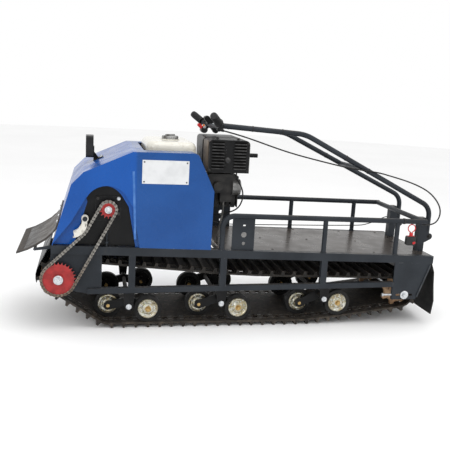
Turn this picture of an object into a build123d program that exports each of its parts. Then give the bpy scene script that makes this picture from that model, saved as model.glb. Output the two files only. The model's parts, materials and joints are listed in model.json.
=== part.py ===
from build123d import *
import os
from math import asin, atan2, cos, degrees, hypot, pi, radians, sin, tan

os.makedirs("parts", exist_ok=True)

# Tracked snow tug. All lengths are in millimetres. While it is built, x is the station: it runs rearward from the
# front end of the lower frame tubes. y runs to the machine's right side and z up from the ground. The finished
# pieces are moved forward so that the origin is under the middle of the whole machine.

# Overall
FRAME_WIDTH = 576
FLAP_TIP_X = -308
MUD_FLAP_REAR_X = 1718
SEAT_GAP = 0.3
FIT_GAP = 0.05
CUT_OVERRUN = 6

# Frame
RAIL_FRONT_X = -159
RAIL_FRONT_TOP = 402
RAIL_REAR_X = 1678
RAIL_REAR_TOP = 357
RAIL_HEIGHT = 38
RAIL_WIDTH = 30
LOWER_FRONT_X = 0
LOWER_FRONT_TOP = 203
LOWER_REAR_X = 1476
LOWER_REAR_TOP = 225
LOWER_SIZE = 25
POST_LENGTH = 30
POST_XS = (196, 617, 1111)
CROSS_SIZE = 28
CROSS_XS = (-120, 230, 617, 860, 1111, 1380)

# Drive end
DRIVE_X = -126
DRIVE_Z = 251
DRIVE_SHAFT_R = 12.5
DRIVE_PLATE_THICKNESS = 6
DRIVE_PLATE_HUB_R = 48
DRIVE_PLATE_REAR_X = 62
HUB_R = 24
HUB_LENGTH = 14
GUARD_R = 101
GUARD_THICKNESS = 3
GUARD_TOP_X = -166
GUARD_TOP_Z = 396
GUARD_ARC_START = 152
GUARD_ARC_END = 196

# Track
TRACK_PITCH = 56
STAR_TEETH = 8
TRACK_SIDE_GAP = 38
BAND_THICKNESS = 8
LUG_HEIGHT = 18
LUG_BASE = 18
LUG_TIP = 9
WINDOW_INSET = 58
WINDOW_LENGTH = 24
WINDOW_WIDTH = 28
STAR_WIDTH = 18
TOOTH_BASE = 24
TOOTH_TIP = 11
TOOTH_REACH = 3
TRACK_SAG_X = 842
TRACK_SAG_Z = 247
TRACK_SAG_R = 2500
BELT_GAP = 0.6
TURN_LIMIT = radians(340)

# Rollers and balance arms
ROLLER_R = 64
ROLLER_WIDTH = 28
RIM_R = 46.5
RIM_WALL = 4
DISC_WALL = 5
ROLLER_HUB_R = 17
ROLLER_BORE_R = 8
OUTER_ROLLER_INSET = 20
INNER_ROLLER_INSET = 100
ARM_INSET = 60
ARM_THICKNESS = 12
ARM_HALF_HEIGHT = 20
PIVOT_R = 10
PIVOT_PROUD = 0.5
PIVOT_HEAD_R = 11
PIVOT_HEAD_LENGTH = 7
BRACKET_THICKNESS = 6
BRACKET_EYE_R = 19
BRACKET_TOP_HALF = 26
LAST_ROLLER_LIFT = 18
# Balance arms, front to rear: station of the pivot, height of the pivot, station of the front roller, of the rear one
ARM_PIVOT_XS = (186, 617, 1126)
ARM_PIVOT_ZS = (113, 123, 139)
FRONT_ROLLER_XS = (95, 525, 1032)
REAR_ROLLER_XS = (277, 707, 1210)

# Rear axle and its slide plates
REAR_AXLE_X = 1541
REAR_AXLE_Z = 159
REAR_AXLE_R = 10
REAR_BOLT_R = 5.4
SLIDE_PLATE_THICKNESS = 6
SLIDE_PLATE_BOTTOM_Z = 136
SLIDE_PLATE_BOTTOM_REAR_X = 1603
SLIDE_FLANGE = 15
SLIDE_SLOT_LENGTH = 90
SLIDE_SLOT_HEIGHT = 11.2
WASHER_R = 21
WASHER_THICKNESS = 3
BOLT_HEAD_R = 10
BOLT_HEAD_LENGTH = 9
TENSION_BOLT_R = 5
TENSION_BOLT_LENGTH = 44
TENSION_HEAD_R = 9
TENSION_HEAD_LENGTH = 7

# Chain drive
CHAIN_PITCH = 15.875
BIG_TEETH = 29
SMALL_TEETH = 14
CHAIN_SIDE_GAP = 12
SMALL_SPROCKET_X = 85.5
SMALL_SPROCKET_Z = 567.5
SPROCKET_THICKNESS = 8
CHAIN_ROLLER_R = 5
CHAIN_PLATE_GAP = 9.6
CHAIN_PLATE_THICKNESS = 3
CHAIN_PLATE_HALF = 7
CHAIN_WAIST_SHARE = 0.62
CHAIN_PIN_OVERHANG = 1.5
SHOE_X = -35
SHOE_Z = 479
SHOE_R = 68
SHOE_PRESS = 27
SHOE_THICKNESS = 28
SHOE_HALF_ANGLE = 44
SHOE_LIP = 4
SHOE_WIDTH = 24
SHOE_NECK_R = 9
SHOE_EYE_R = 15
TENSIONER_PIVOT_X = -14
TENSIONER_PIVOT_Z = 527
ADJUSTER_X = 81
ADJUSTER_LENGTH = 86
ADJUSTER_R = 4
ADJUSTER_NUT_R = 9
ADJUSTER_NUT_Z = 412
ADJUSTER_Y_SHARE = 0.75
JACKSHAFT_R = 10
JACKSHAFT_LENGTH = 198
DRIVE_PANEL_THICKNESS = 6
PANEL_MARGIN = 8
# The front edge of the panel behind the chain's arch: stations, and heights above the rail
PANEL_XS = (-62, -5, -36)
PANEL_RISES = (0, 196, 320)
BEARING_HALF_LENGTH = 45
BEARING_R = 28
BEARING_BOLT_R = 7
BEARING_BOLT_RISE = 45
BEARING_THICKNESS = 12

# Deck
DECK_FRONT_X = 600
DECK_THICKNESS = 10
DECK_SIDE_GAP = 0.5

# Cargo hoops
HOOP_R = 12.5
HOOP_UPRIGHT_R = 11.5
HOOP_FRONT_X = 605.5
HOOP_FRONT_TOP = 556
HOOP_REAR_TOP = 541
HOOP_BEND_R = 55
HOOP_UPRIGHT_XS = (1103, 1473)
CROSS_TUBE_X = 1612
GUSSET_THICKNESS = 4
GUSSET_FRONT_X = 651
GUSSET_REAR_X = 757
GUSSET_HOLE_X = 707
# Gusset holes, from the top down: radius, and share of the gusset's height
GUSSET_HOLE_RS = (6.5, 13, 8)
GUSSET_HOLE_SHARES = (0.80, 0.50, 0.22)

# Handle posts and hinge
HANDLE_Y = 165
HANDLE_POST_SIZE = 37
HANDLE_POST_REAR_X = 1674
HANDLE_POST_TOP = 530
HINGE_X = 1700
HINGE_Z = 434
HINGE_EYE_R = 14
HINGE_EYE_WIDTH = 23
HINGE_PIN_R = 6
HINGE_SIDE_GAP = 1
EAR_THICKNESS = 5
EAR_R = 16

# Handle
HANDLE_TUBE_R = 12.5
HANDLE_UPRIGHT_X = 1694
HANDLE_KNEE_Z = 583
HANDLE_KNEE_R = 72
HANDLE_CREST_X = 1005
HANDLE_CREST_Z = 922
HANDLE_CREST_R = 190
HANDLE_FRONT_Z = 946
HANDLE_CROSS_X = 1325
HANDLE_CROSS_R = 11.5
# The handle is twisted: its right side stands lower at the front
HANDLE_TWIST = 18
BAR_R = 11
BAR_X = 592
BAR_Z = 941
BAR_END_X = 535
BAR_END_Y = 288
BAR_END_Z = 991
BAR_BEND_R = 34
BAR_BEND_Y = 190
GRIP_R = 16.5
GRIP_LENGTH = 82
GRIP_CAP = 4

# Controls on the handlebar: places measured rearward and up from the bar's axis
CONTROL_Y = 120
CONTROL_WIDTH = 24
LEVER_TOP = (-15, 36)
LEVER_FOOT = (31, -22)
LEVER_R = 14
KNOB_PLACE = (-27, -20)
KNOB_R = 17
KNOB_LENGTH = 46
CLAMP_WIDTH = 12
CLAMP_R = 10
SWITCH_TOP = (-54, 2)
SWITCH_FOOT = (-40, -10)
SWITCH_R = 8
SIDE_CLAMP_Y = 203
PERCH_TOP = (-8, 39)
CABLE_CLAMP_FOOT = (-14, -12)
FITTING_R = 6
FITTING_LENGTH = 28

# Carburettor
CARB_FRONT_X = 550
CARB_REAR_X = 695
CARB_LEFT_Y = -130
CARB_BOTTOM_Z = 625
CARB_TOP_Z = 716
CARB_FILLET = 12
CARB_KNOB_X = 599
CARB_KNOB_Z = 657
CARB_KNOB_R = 22
CARB_KNOB_DEPTH = 20
CARB_BOWL_FRONT_X = 615
CARB_BOWL_REAR_X = 682
CARB_BOWL_Z = 581

# Hood
HOOD_SHEET = 3
HOOD_FRONT_X = -155
HOOD_LENGTH = 710
HOOD_BOTTOM_Z = 404
HOOD_HEIGHT = 420
# Side outline from the front tip over the top to the rear: shares of the length, and of the height
HOOD_LENGTH_SHARES = (0, 0.114, 0.186, 0.482, 0.865, 0.893, 1, 0.996)
HOOD_HEIGHT_SHARES = (0, 0.640, 0.769, 0.995, 1, 0.978, 0.598, -0.040)
ARCH_LENGTH_SHARES = (0, 0.1155, 0.206, 0.4507, 0.490, 0.537)
ARCH_HEIGHT_SHARES = (0, 0.248, 0.5095, 0.519, 0.412, -0.017)
ARCH_X = 80
ARCH_TOP_Z = 669.5
ARCH_R = 100
ARCH_LIP = 14
ARCH_STRIP = 18
TANK_OPENING_FRONT_X = 241
TANK_OPENING_LEFT_MARGIN = 92
TANK_OPENING_RIGHT_MARGIN = 74
PLATE_LENGTH = 207
PLATE_HEIGHT = 105
PLATE_FRONT_X = 229
PLATE_BOTTOM_Z = 684
PLATE_THICKNESS = 1.5

# Rubber flaps
FLAP_INSET = 48
FLAP_THICKNESS = 6
FLAP_TIP_Z = 352
FLAP_RISE = 110
FLAP_SEAT_LENGTH = 48
# The flap's bends from its tip: shares of its reach in front of the hood, and of its rise
FLAP_LENGTH_SHARES = (0, 0.30, 0.55, 0.837, 0.985)
FLAP_RISE_SHARES = (0, 0.145, 0.327, 0.58, 0.78)
MUD_FLAP_THICKNESS = 5
MUD_FLAP_INSET = 18
MUD_FLAP_BOTTOM_Z = 50
# The mud flap's bends from its lower edge: shares of its reach behind the rail, and of its height
MUD_FLAP_REACH_SHARES = (0.77, 1, 0.71, 0.54, 0)
MUD_FLAP_HEIGHT_SHARES = (0, 0.26, 0.56, 0.82, 1)
FLAP_ROD_R = 6
FLAP_ROD_SHARE = 0.8
FLAP_ARM_HEIGHT = 14
FLAP_ARM_THICKNESS = 6

# Lamp
LAMP_FRONT_X = -15
LAMP_DEPTH = 35
LAMP_BOTTOM_Z = 765
LAMP_SIDE = 100
LAMP_CORNER_R = 10
LAMP_BEZEL = 6
LAMP_BRACKET_THICKNESS = 4
LAMP_FOOT_LENGTH = 46
LAMP_LUG_X = 26

# Engine
ENGINE_BASE_Z = 420
ENGINE_FRONT_X = 290
ENGINE_REAR_X = 520
ENGINE_LEFT_Y = -110
ENGINE_RIGHT_Y = 110
ENGINE_TOP_Z = 660
CASTING_FILLET = 22
HEAD_REAR_X = 712
HEAD_BOTTOM_Z = 548
HEAD_TOP_Z = 700
HEAD_HALF_WIDTH = 80
FIN_COUNT = 7
FIN_GAP = 10
FIN_DEPTH = 16
TANK_FRONT_X = 255
TANK_REAR_X = 489
TANK_LEFT_Y = -165
TANK_RIGHT_Y = 185
TANK_BOTTOM_Z = 735
TANK_TOP_Z = 860
TANK_CORNER_R = 46
TANK_FILLET = 30
TANK_FOOT = 40
CAP_X = 380
CAP_Y = 0
CAP_R = 37
CAP_HEIGHT = 16
MUFFLER_FRONT_X = 541
MUFFLER_REAR_X = 738
MUFFLER_BOTTOM_Z = 727
MUFFLER_TOP_Z = 880
MUFFLER_LEFT_Y = -170
MUFFLER_RIGHT_Y = -30
MUFFLER_FILLET = 22
LOUVRE_COUNT = 8
LOUVRE_HEIGHT = 7
LOUVRE_DEPTH = 5
LOUVRE_MARGIN = 15
LOUVRE_COLUMN_GAP = 30
PIPE_R = 10
PIPE_WALL = 2
PIPE_Y = -110
PIPE_Z = 807
PIPE_END_X = 790
FILTER_RIGHT_Y = 200
FILTER_LEFT_Y = -10
FILTER_FILLET = 20
STARTER_X = 400
STARTER_Z = 530
STARTER_R = 105
STARTER_DEPTH = 60
BASE_BAR = 40
ENGINE_BAR_GAP = 1

# Tow hitch
HITCH_LENGTH = 38
HITCH_WIDTH = 60
HITCH_THICKNESS = 12
HITCH_BORE_R = 8

# Stop switch's ring and clip under the left hoop
RING_X = 1549
RING_R = 19
RING_TUBE_R = 2.5
CLIP_LENGTH = 50
CLIP_HEIGHT = 46
CLIP_WIDTH = 20
CLIP_CORNER_R = 8
BULB_R = 9
BULB_HEIGHT = 16

# Cords: the share of a run that its arc may take, the radius of each cord, and its route as stations, y and heights
ARC_SHARE = 0.45
CABLE_R = 3.5
HOSE_R = 5
DECK_CABLE_R = 2.5
THROTTLE_ROUTE = (
    (600, -205.6, 923.8),
    (668, -203, 909),
    (760, -200, 883),
    (850, -197, 855),
    (945, -194, 829),
    (1045, -191, 807),
    (1145, -188, 786.5),
    (1225, -185, 771),
    (1290, -183, 763),
    (1350, -181.3, 756),
)
LOOP_ROUTE = (
    (1350.5, -181.3, 755.9),
    (1397, -180, 750.5),
    (1460, -183, 735),
    (1525, -193, 719),
    (1590, -207, 698),
    (1650, -224, 668),
    (1694, -240, 620),
    (1707, -253, 575),
    (1690, -265, 533),
    (1652, -275.5, 512.5),
    (1604, -275.5, 512.4),
)
PLUG_LEAD_ROUTE = (
    (686, -137, 727),
    (686, -137, 699),
    (706, -147, 671),
    (721, -152, 634),
    (719, -150, 590),
    (704, -137, 554),
    (674, -115, 531),
    (632, -98, 519),
    (570, -88, 508),
    (520, -88, 508),
)
# The hose goes on from its route to its foot, which stands on a cross member in a notch of the deck board
HOSE_ROUTE = ((634, -120, 581), (634, -120, 521), (616, -121, 452))
HOSE_FOOT_X = 613
HOSE_FOOT_Y = -120
HOSE_NOTCH_GAP = 3
DECK_CABLE_ROUTE = (
    (520, 60, 466),
    (552, 60, 466),
    (590, 85, 455),
    (625, 135, 438),
    (655, 188, 420),
    (692, 236, 402),
    (745, 261, 391),
    (1500, 261, 392.5),
    (1555, 261, 402),
    (1605, 260, 420),
    (1640, 244, 444),
    (1655.5, 214, 460),
    (1655.5, 183.5, 460),
)

# Values worked out from the sizes above
HALF_WIDTH = FRAME_WIDTH / 2
RAIL_INNER_Y = HALF_WIDTH - RAIL_WIDTH
LOWER_INNER_Y = HALF_WIDTH - LOWER_SIZE
BELT_GROUND_Z = BAND_THICKNESS + LUG_HEIGHT
STAR_R = STAR_TEETH * TRACK_PITCH / (2 * pi)
TRACK_HALF_WIDTH = HALF_WIDTH - TRACK_SIDE_GAP
WINDOW_Y = TRACK_HALF_WIDTH - WINDOW_INSET
OUTER_ROLLER_Y = TRACK_HALF_WIDTH - OUTER_ROLLER_INSET
INNER_ROLLER_Y = TRACK_HALF_WIDTH - INNER_ROLLER_INSET
ARM_Y = TRACK_HALF_WIDTH - ARM_INSET
CHAIN_Y = -HALF_WIDTH - CHAIN_SIDE_GAP
PLATE_INNER_Y = -RAIL_INNER_Y
ROLLER_Z = BELT_GROUND_Z + BELT_GAP + ROLLER_R


def along(x, x_low, z_low, x_high, z_high):
    """The height at station x of the straight line through two points."""
    return z_low + (z_high - z_low) * (x - x_low) / (x_high - x_low)


def rail_top(x):
    """The height of the upper rails' top at station x."""
    return along(x, RAIL_FRONT_X, RAIL_FRONT_TOP, RAIL_REAR_X, RAIL_REAR_TOP)


def lower_top(x):
    """The height of the lower tubes' top at station x."""
    return along(x, LOWER_FRONT_X, LOWER_FRONT_TOP, LOWER_REAR_X, LOWER_REAR_TOP)


def side_plane(y):
    """The drawing plane of a side view at y: its first axis runs rearward and its second up."""
    return Plane(origin=(0, y, 0), x_dir=(1, 0, 0), z_dir=(0, -1, 0))


def area(points):
    """The flat shape inside a closed outline of (x, z) points, whichever way round they run."""
    ends = zip(points, points[1:] + points[:1])
    turning = sum(a[0] * b[1] - b[0] * a[1] for a, b in ends)
    return Polygon(*(points if turning > 0 else points[::-1]), align=None)


def slab(outline, y_low, y_high):
    """A flat piece with a side-view outline, a list of (x, z) points or a sketch, between two y."""
    sketch = area(outline) if isinstance(outline, list) else outline
    return extrude(side_plane(y_low) * sketch, amount=y_high - y_low, dir=(0, 1, 0))


def round_bar(x, z, radius, y_low, y_high):
    """A round bar across the machine."""
    return slab(Pos(x, z) * Circle(radius), y_low, y_high)


def block(x_low, x_high, y_low, y_high, z_low, z_high):
    """A box between two stations, two y and two heights."""
    return Pos(x_low, y_low, z_low) * Box(
        x_high - x_low, y_high - y_low, z_high - z_low, align=(Align.MIN, Align.MIN, Align.MIN)
    )


def strap(p, q, radius):
    """A sketch of a bar with round ends between two points."""
    length = hypot(q[0] - p[0], q[1] - p[1])
    turn = degrees(atan2(q[1] - p[1], q[0] - p[0]))
    return Pos(*p) * Rot(0, 0, turn) * (
        Pos(length / 2, 0) * Rectangle(length, 2 * radius) + Circle(radius) + Pos(length, 0) * Circle(radius)
    )


def ribbon(points, thickness):
    """The closed outline of a bent sheet: the points, and the same points moved to the left of their run."""
    moved = []
    for i, (x, z) in enumerate(points):
        before = points[max(i - 1, 0)]
        after = points[min(i + 1, len(points) - 1)]
        turn_in = atan2(z - before[1], x - before[0]) if i else atan2(after[1] - z, after[0] - x)
        turn_out = atan2(after[1] - z, after[0] - x) if i < len(points) - 1 else turn_in
        middle = (turn_in + turn_out) / 2
        reach = thickness / cos((turn_out - turn_in) / 2)
        moved.append((x - reach * sin(middle), z + reach * cos(middle)))
    return list(points) + moved[::-1]


def tube_along(points, radii, radius):
    """A round tube along straight runs joined by arcs."""
    path = FilletPolyline(*points, radius=radii) if radii else Polyline(*points)
    return sweep((path ^ 0) * Circle(radius), path=path)


def cord(points, radius):
    """A cord's tube: straight runs joined by arcs as large as the runs allow."""
    radii = []
    for a, b, c in zip(points, points[1:], points[2:]):
        into = Vector(*b) - Vector(*a)
        out = Vector(*c) - Vector(*b)
        turn = radians(into.get_angle(out))
        radii.append(ARC_SHARE * min(into.length, out.length) / tan(turn / 2))
    path = FilletPolyline(*points, radius=radii)
    print("cord", radius, "length", round(path.length), "radii", [round(r) for r in radii])
    return sweep((path ^ 0) * Circle(radius), path=path)


def both_sides(piece):
    """A piece of the left side with its mirror image on the right."""
    return [piece, mirror(piece, about=Plane.XZ)]


def solids_of(pieces):
    """All solids of one piece or of a list of pieces."""
    pieces = pieces if isinstance(pieces, list) else [pieces]
    return [solid for piece in pieces for solid in piece.solids()]


def middle_of(boxes):
    """The point on the ground under the middle of the box round all the boxes."""
    middle_x = (min(box.min.X for box in boxes) + max(box.max.X for box in boxes)) / 2
    middle_y = (min(box.min.Y for box in boxes) + max(box.max.Y for box in boxes)) / 2
    return (middle_x, middle_y, 0)


# Belts: a belt runs round a list of guides (x, z, r), with the bottom run going rearward. A guide inside the loop has
# a positive radius and one outside it a negative one.


def belt_runs(guides):
    """The belt's runs in order: each is ("line", start, heading, length) or ("arc", guide, heading, turn)."""
    headings = []
    for a, b in zip(guides, guides[1:] + guides[:1]):
        reach = hypot(b[0] - a[0], b[1] - a[1])
        headings.append(atan2(b[1] - a[1], b[0] - a[0]) - asin((b[2] - a[2]) / reach))
    runs = []
    for i, guide in enumerate(guides):
        turn = (headings[i] - headings[i - 1]) % (2 * pi)
        if guide[2] < 0 or turn > TURN_LIMIT:
            turn -= 2 * pi
        runs.append(("arc", guide, headings[i - 1], turn))
        after = guides[(i + 1) % len(guides)]
        start = touch(guide, headings[i])
        end = touch(after, headings[i])
        runs.append(("line", start, headings[i], hypot(end[0] - start[0], end[1] - start[1])))
    return runs


def touch(guide, heading):
    """Where a belt with this heading touches a guide."""
    x, z, r = guide
    return (x + r * sin(heading), z - r * cos(heading))


def run_length(run):
    """The length of one run."""
    return run[3] if run[0] == "line" else abs(run[1][2] * run[3])


def belt_length(runs):
    """The length of the whole belt."""
    return sum(run_length(run) for run in runs)


def belt_point(runs, distance, offset):
    """The point and heading at a distance along the belt, moved outward by the offset."""
    left = distance % belt_length(runs)
    for run in runs:
        length = run_length(run)
        if left <= length:
            break
        left -= length
    if run[0] == "line":
        heading = run[2]
        x = run[1][0] + left * cos(heading)
        z = run[1][1] + left * sin(heading)
    else:
        heading = run[2] + run[3] * left / length
        x, z = touch(run[1], heading)
    return (x + offset * sin(heading), z - offset * cos(heading), heading)


def belt_stations(runs, step_angle):
    """Distances along the belt at the ends of its runs and at even steps on its arcs."""
    stations, start = [], 0
    for run in runs:
        length = run_length(run)
        steps = max(1, round(abs(run[3]) / step_angle)) if run[0] == "arc" else 1
        stations += [start + length * i / steps for i in range(steps)]
        start += length
    return stations


def belt_outline(runs, stations, offset):
    """The outline of the belt at one offset."""
    return [belt_point(runs, s, offset)[:2] for s in stations]


def on_belt(runs, distance, offset, y):
    """The place of a piece carried by the belt: its x runs along the belt and its z inward."""
    x, z, heading = belt_point(runs, distance, offset)
    return Pos(x, y, z) * Rot(0, -degrees(heading), 0)


def rail_outline():
    """The side outline of an upper rail."""
    return [
        (RAIL_FRONT_X, RAIL_FRONT_TOP - RAIL_HEIGHT),
        (RAIL_REAR_X, RAIL_REAR_TOP - RAIL_HEIGHT),
        (RAIL_REAR_X, RAIL_REAR_TOP),
        (RAIL_FRONT_X, RAIL_FRONT_TOP),
    ]


def rails():
    """The two upper rails."""
    return both_sides(slab(rail_outline(), -HALF_WIDTH, -RAIL_INNER_Y))


def lower_tubes():
    """The two lower tubes."""
    outline = [
        (LOWER_FRONT_X, LOWER_FRONT_TOP - LOWER_SIZE),
        (LOWER_REAR_X, LOWER_REAR_TOP - LOWER_SIZE),
        (LOWER_REAR_X, LOWER_REAR_TOP),
        (LOWER_FRONT_X, LOWER_FRONT_TOP),
    ]
    return both_sides(slab(outline, -HALF_WIDTH, -LOWER_INNER_Y))


def posts():
    """The posts between the rails and the lower tubes."""
    pieces = []
    for x in POST_XS:
        front = x - POST_LENGTH / 2
        rear = x + POST_LENGTH / 2
        outline = [
            (front, lower_top(front)),
            (rear, lower_top(rear)),
            (rear, rail_top(rear) - RAIL_HEIGHT),
            (front, rail_top(front) - RAIL_HEIGHT),
        ]
        pieces += both_sides(slab(outline, -HALF_WIDTH, -LOWER_INNER_Y))
    return pieces


def cross_members():
    """The bars between the two rails, under the deck and the engine, and the one that closes the rear."""
    pieces = []
    for x in CROSS_XS + (RAIL_REAR_X - CROSS_SIZE / 2,):
        front = x - CROSS_SIZE / 2
        rear = x + CROSS_SIZE / 2
        outline = [
            (front, rail_top(front) - RAIL_HEIGHT),
            (rear, rail_top(rear) - RAIL_HEIGHT),
            (rear, rail_top(rear) - DECK_THICKNESS),
            (front, rail_top(front) - DECK_THICKNESS),
        ]
        pieces.append(slab(outline, -RAIL_INNER_Y, RAIL_INNER_Y))
    return pieces


def drive_plates():
    """The plates that carry the drive shaft, between rail and lower tube."""
    top = rail_top(DRIVE_PLATE_REAR_X) - RAIL_HEIGHT
    front = DRIVE_X - DRIVE_PLATE_HUB_R
    outline = area(
        [
            (front, DRIVE_Z),
            (DRIVE_X, DRIVE_Z - DRIVE_PLATE_HUB_R),
            (LOWER_FRONT_X, LOWER_FRONT_TOP - LOWER_SIZE),
            (LOWER_FRONT_X, LOWER_FRONT_TOP),
            (DRIVE_PLATE_REAR_X, lower_top(DRIVE_PLATE_REAR_X)),
            (DRIVE_PLATE_REAR_X, top),
            (RAIL_FRONT_X, RAIL_FRONT_TOP - RAIL_HEIGHT),
        ]
    )
    outline += Pos(DRIVE_X, DRIVE_Z) * Circle(DRIVE_PLATE_HUB_R)
    outline -= Pos(DRIVE_X, DRIVE_Z) * Circle(DRIVE_SHAFT_R + FIT_GAP)
    outer_y = -LOWER_INNER_Y - (LOWER_SIZE - DRIVE_PLATE_THICKNESS) / 2
    return both_sides(slab(outline, outer_y - DRIVE_PLATE_THICKNESS, outer_y))


def drive_shaft():
    """The drive shaft across the machine, which sticks out to carry the big sprocket."""
    return round_bar(DRIVE_X, DRIVE_Z, DRIVE_SHAFT_R, CHAIN_Y - SPROCKET_THICKNESS / 2 - HUB_LENGTH, HALF_WIDTH)


def front_guard():
    """The curved plate in front of the track."""
    points = [(GUARD_TOP_X, GUARD_TOP_Z)]
    angle = GUARD_ARC_START
    while angle <= GUARD_ARC_END:
        points.append((DRIVE_X + GUARD_R * cos(radians(angle)), DRIVE_Z + GUARD_R * sin(radians(angle))))
        angle += (GUARD_ARC_END - GUARD_ARC_START) / 4
    half = RAIL_INNER_Y - DRIVE_PLATE_THICKNESS
    return slab(ribbon(points, GUARD_THICKNESS), -half, half)


def track_guides():
    """The wheels that the track runs round, from the front roller rearward, over the rear star and back."""
    rollers = [(FRONT_ROLLER_XS[0], ROLLER_Z, ROLLER_R + BELT_GAP)]
    rollers += [(FRONT_ROLLER_XS[2], ROLLER_Z, ROLLER_R + BELT_GAP)]
    rollers += [(REAR_ROLLER_XS[2], ROLLER_Z + LAST_ROLLER_LIFT, ROLLER_R + BELT_GAP)]
    rear = [(REAR_AXLE_X, REAR_AXLE_Z, STAR_R)]
    sag = [(TRACK_SAG_X, TRACK_SAG_Z + TRACK_SAG_R, -TRACK_SAG_R)]
    return rollers + rear + sag + [(DRIVE_X, DRIVE_Z, STAR_R)]


def track():
    """The rubber track: a band with lugs across it, and windows for the stars' teeth."""
    runs = belt_runs(track_guides())
    length = belt_length(runs)
    count = round(length / TRACK_PITCH)
    pitch = length / count
    outer = []
    for i in range(count):
        middle = i * pitch
        outer.append(belt_point(runs, middle - LUG_BASE / 2, BAND_THICKNESS)[:2])
        outer.append(belt_point(runs, middle - LUG_TIP / 2, BAND_THICKNESS + LUG_HEIGHT)[:2])
        outer.append(belt_point(runs, middle + LUG_TIP / 2, BAND_THICKNESS + LUG_HEIGHT)[:2])
        outer.append(belt_point(runs, middle + LUG_BASE / 2, BAND_THICKNESS)[:2])
        outer.append(belt_point(runs, middle + pitch / 2, BAND_THICKNESS)[:2])
    inner = belt_outline(runs, belt_stations(runs, radians(12)), 0)
    band = slab(
        area(outer) - area(inner), -TRACK_HALF_WIDTH, TRACK_HALF_WIDTH
    )
    window = Box(WINDOW_LENGTH, WINDOW_WIDTH, 3 * BAND_THICKNESS)
    windows = [
        on_belt(runs, (i + 1 / 2) * pitch, BAND_THICKNESS / 2, side * WINDOW_Y) * window
        for i in range(count)
        for side in (-1, 1)
    ]
    return band - windows


def star(guide_index, shaft_r):
    """One toothed wheel of the track, turned so that its teeth stand in the track's windows."""
    runs = belt_runs(track_guides())
    length = belt_length(runs)
    pitch = length / round(length / TRACK_PITCH)
    before = sum(run_length(run) for run in runs[: 2 * guide_index])
    wrap = runs[2 * guide_index]
    middle = before + run_length(wrap) / 2
    window = (round(middle / pitch - 1 / 2) + 1 / 2) * pitch
    x, z, heading = belt_point(runs, window, 0)
    tooth_angle = heading - pi / 2
    body_r = STAR_R - BELT_GAP
    points = []
    for i in range(STAR_TEETH):
        angle = tooth_angle + 2 * pi * i / STAR_TEETH
        for width, reach in (
            (-TOOTH_BASE / 2, body_r - BAND_THICKNESS),
            (-TOOTH_TIP / 2, STAR_R + BAND_THICKNESS + TOOTH_REACH),
            (TOOTH_TIP / 2, STAR_R + BAND_THICKNESS + TOOTH_REACH),
            (TOOTH_BASE / 2, body_r - BAND_THICKNESS),
        ):
            points.append((reach * cos(angle) - width * sin(angle), reach * sin(angle) + width * cos(angle)))
    outline = area(points) + Circle(body_r - BAND_THICKNESS)
    return outline - Circle(shaft_r + FIT_GAP)


def stars(guide_index, x, z, shaft_r):
    """The pair of toothed wheels on one shaft."""
    outline = Pos(x, z) * star(guide_index, shaft_r)
    return both_sides(slab(outline, -WINDOW_Y - STAR_WIDTH / 2, -WINDOW_Y + STAR_WIDTH / 2))


def track_stars():
    """The toothed wheels on the drive shaft and on the rear axle."""
    drive = stars(len(track_guides()) - 1, DRIVE_X, DRIVE_Z, DRIVE_SHAFT_R)
    return drive + stars(3, REAR_AXLE_X, REAR_AXLE_Z, REAR_AXLE_R)


def arm_rows():
    """The balance arms, front to rear, as (pivot x, pivot z, front roller x and z, rear roller x and z)."""
    rows = []
    for i, pivot_x in enumerate(ARM_PIVOT_XS):
        rear_z = ROLLER_Z + (LAST_ROLLER_LIFT if i == len(ARM_PIVOT_XS) - 1 else 0)
        rows.append((pivot_x, ARM_PIVOT_ZS[i], FRONT_ROLLER_XS[i], ROLLER_Z, REAR_ROLLER_XS[i], rear_z))
    return rows


def balance_arms():
    """The arms that each carry two rollers."""
    pieces = []
    for pivot_x, pivot_z, front_x, front_z, rear_x, rear_z in arm_rows():
        pivot = (pivot_x, pivot_z)
        outline = strap((front_x, front_z), pivot, ARM_HALF_HEIGHT) + strap(pivot, (rear_x, rear_z), ARM_HALF_HEIGHT)
        outline -= Pos(*pivot) * Circle(PIVOT_R + FIT_GAP)
        outline -= Pos(front_x, front_z) * Circle(ROLLER_BORE_R + FIT_GAP)
        outline -= Pos(rear_x, rear_z) * Circle(ROLLER_BORE_R + FIT_GAP)
        pieces += both_sides(slab(outline, -ARM_Y - ARM_THICKNESS / 2, -ARM_Y + ARM_THICKNESS / 2))
    return pieces


def arm_brackets():
    """The plates under the lower tubes that hold the arms' pivot tubes."""
    pieces = []
    outer_y = -HALF_WIDTH + LOWER_SIZE / 2 - BRACKET_THICKNESS / 2
    for pivot_x, pivot_z, *_ in arm_rows():
        front = pivot_x - BRACKET_TOP_HALF
        rear = pivot_x + BRACKET_TOP_HALF
        outline = area(
            [
                (front, lower_top(front) - LOWER_SIZE),
                (pivot_x - BRACKET_EYE_R, pivot_z),
                (pivot_x + BRACKET_EYE_R, pivot_z),
                (rear, lower_top(rear) - LOWER_SIZE),
            ]
        )
        outline += Pos(pivot_x, pivot_z) * Circle(BRACKET_EYE_R)
        outline -= Pos(pivot_x, pivot_z) * Circle(PIVOT_R + FIT_GAP)
        pieces += both_sides(slab(outline, outer_y, outer_y + BRACKET_THICKNESS))
    return pieces


def pivot_tubes():
    """The tubes across the machine that the balance arms hang on, with a bolt head at each end."""
    end = HALF_WIDTH - LOWER_SIZE / 2 + BRACKET_THICKNESS / 2 + PIVOT_PROUD
    pieces = []
    for x, z, *_ in arm_rows():
        tube = round_bar(x, z, PIVOT_R, -end, end)
        for side in (-1, 1):
            low, high = sorted((side * end, side * (end + PIVOT_HEAD_LENGTH)))
            tube += round_bar(x, z, PIVOT_HEAD_R, low, high)
        pieces.append(tube)
    return pieces


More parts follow.
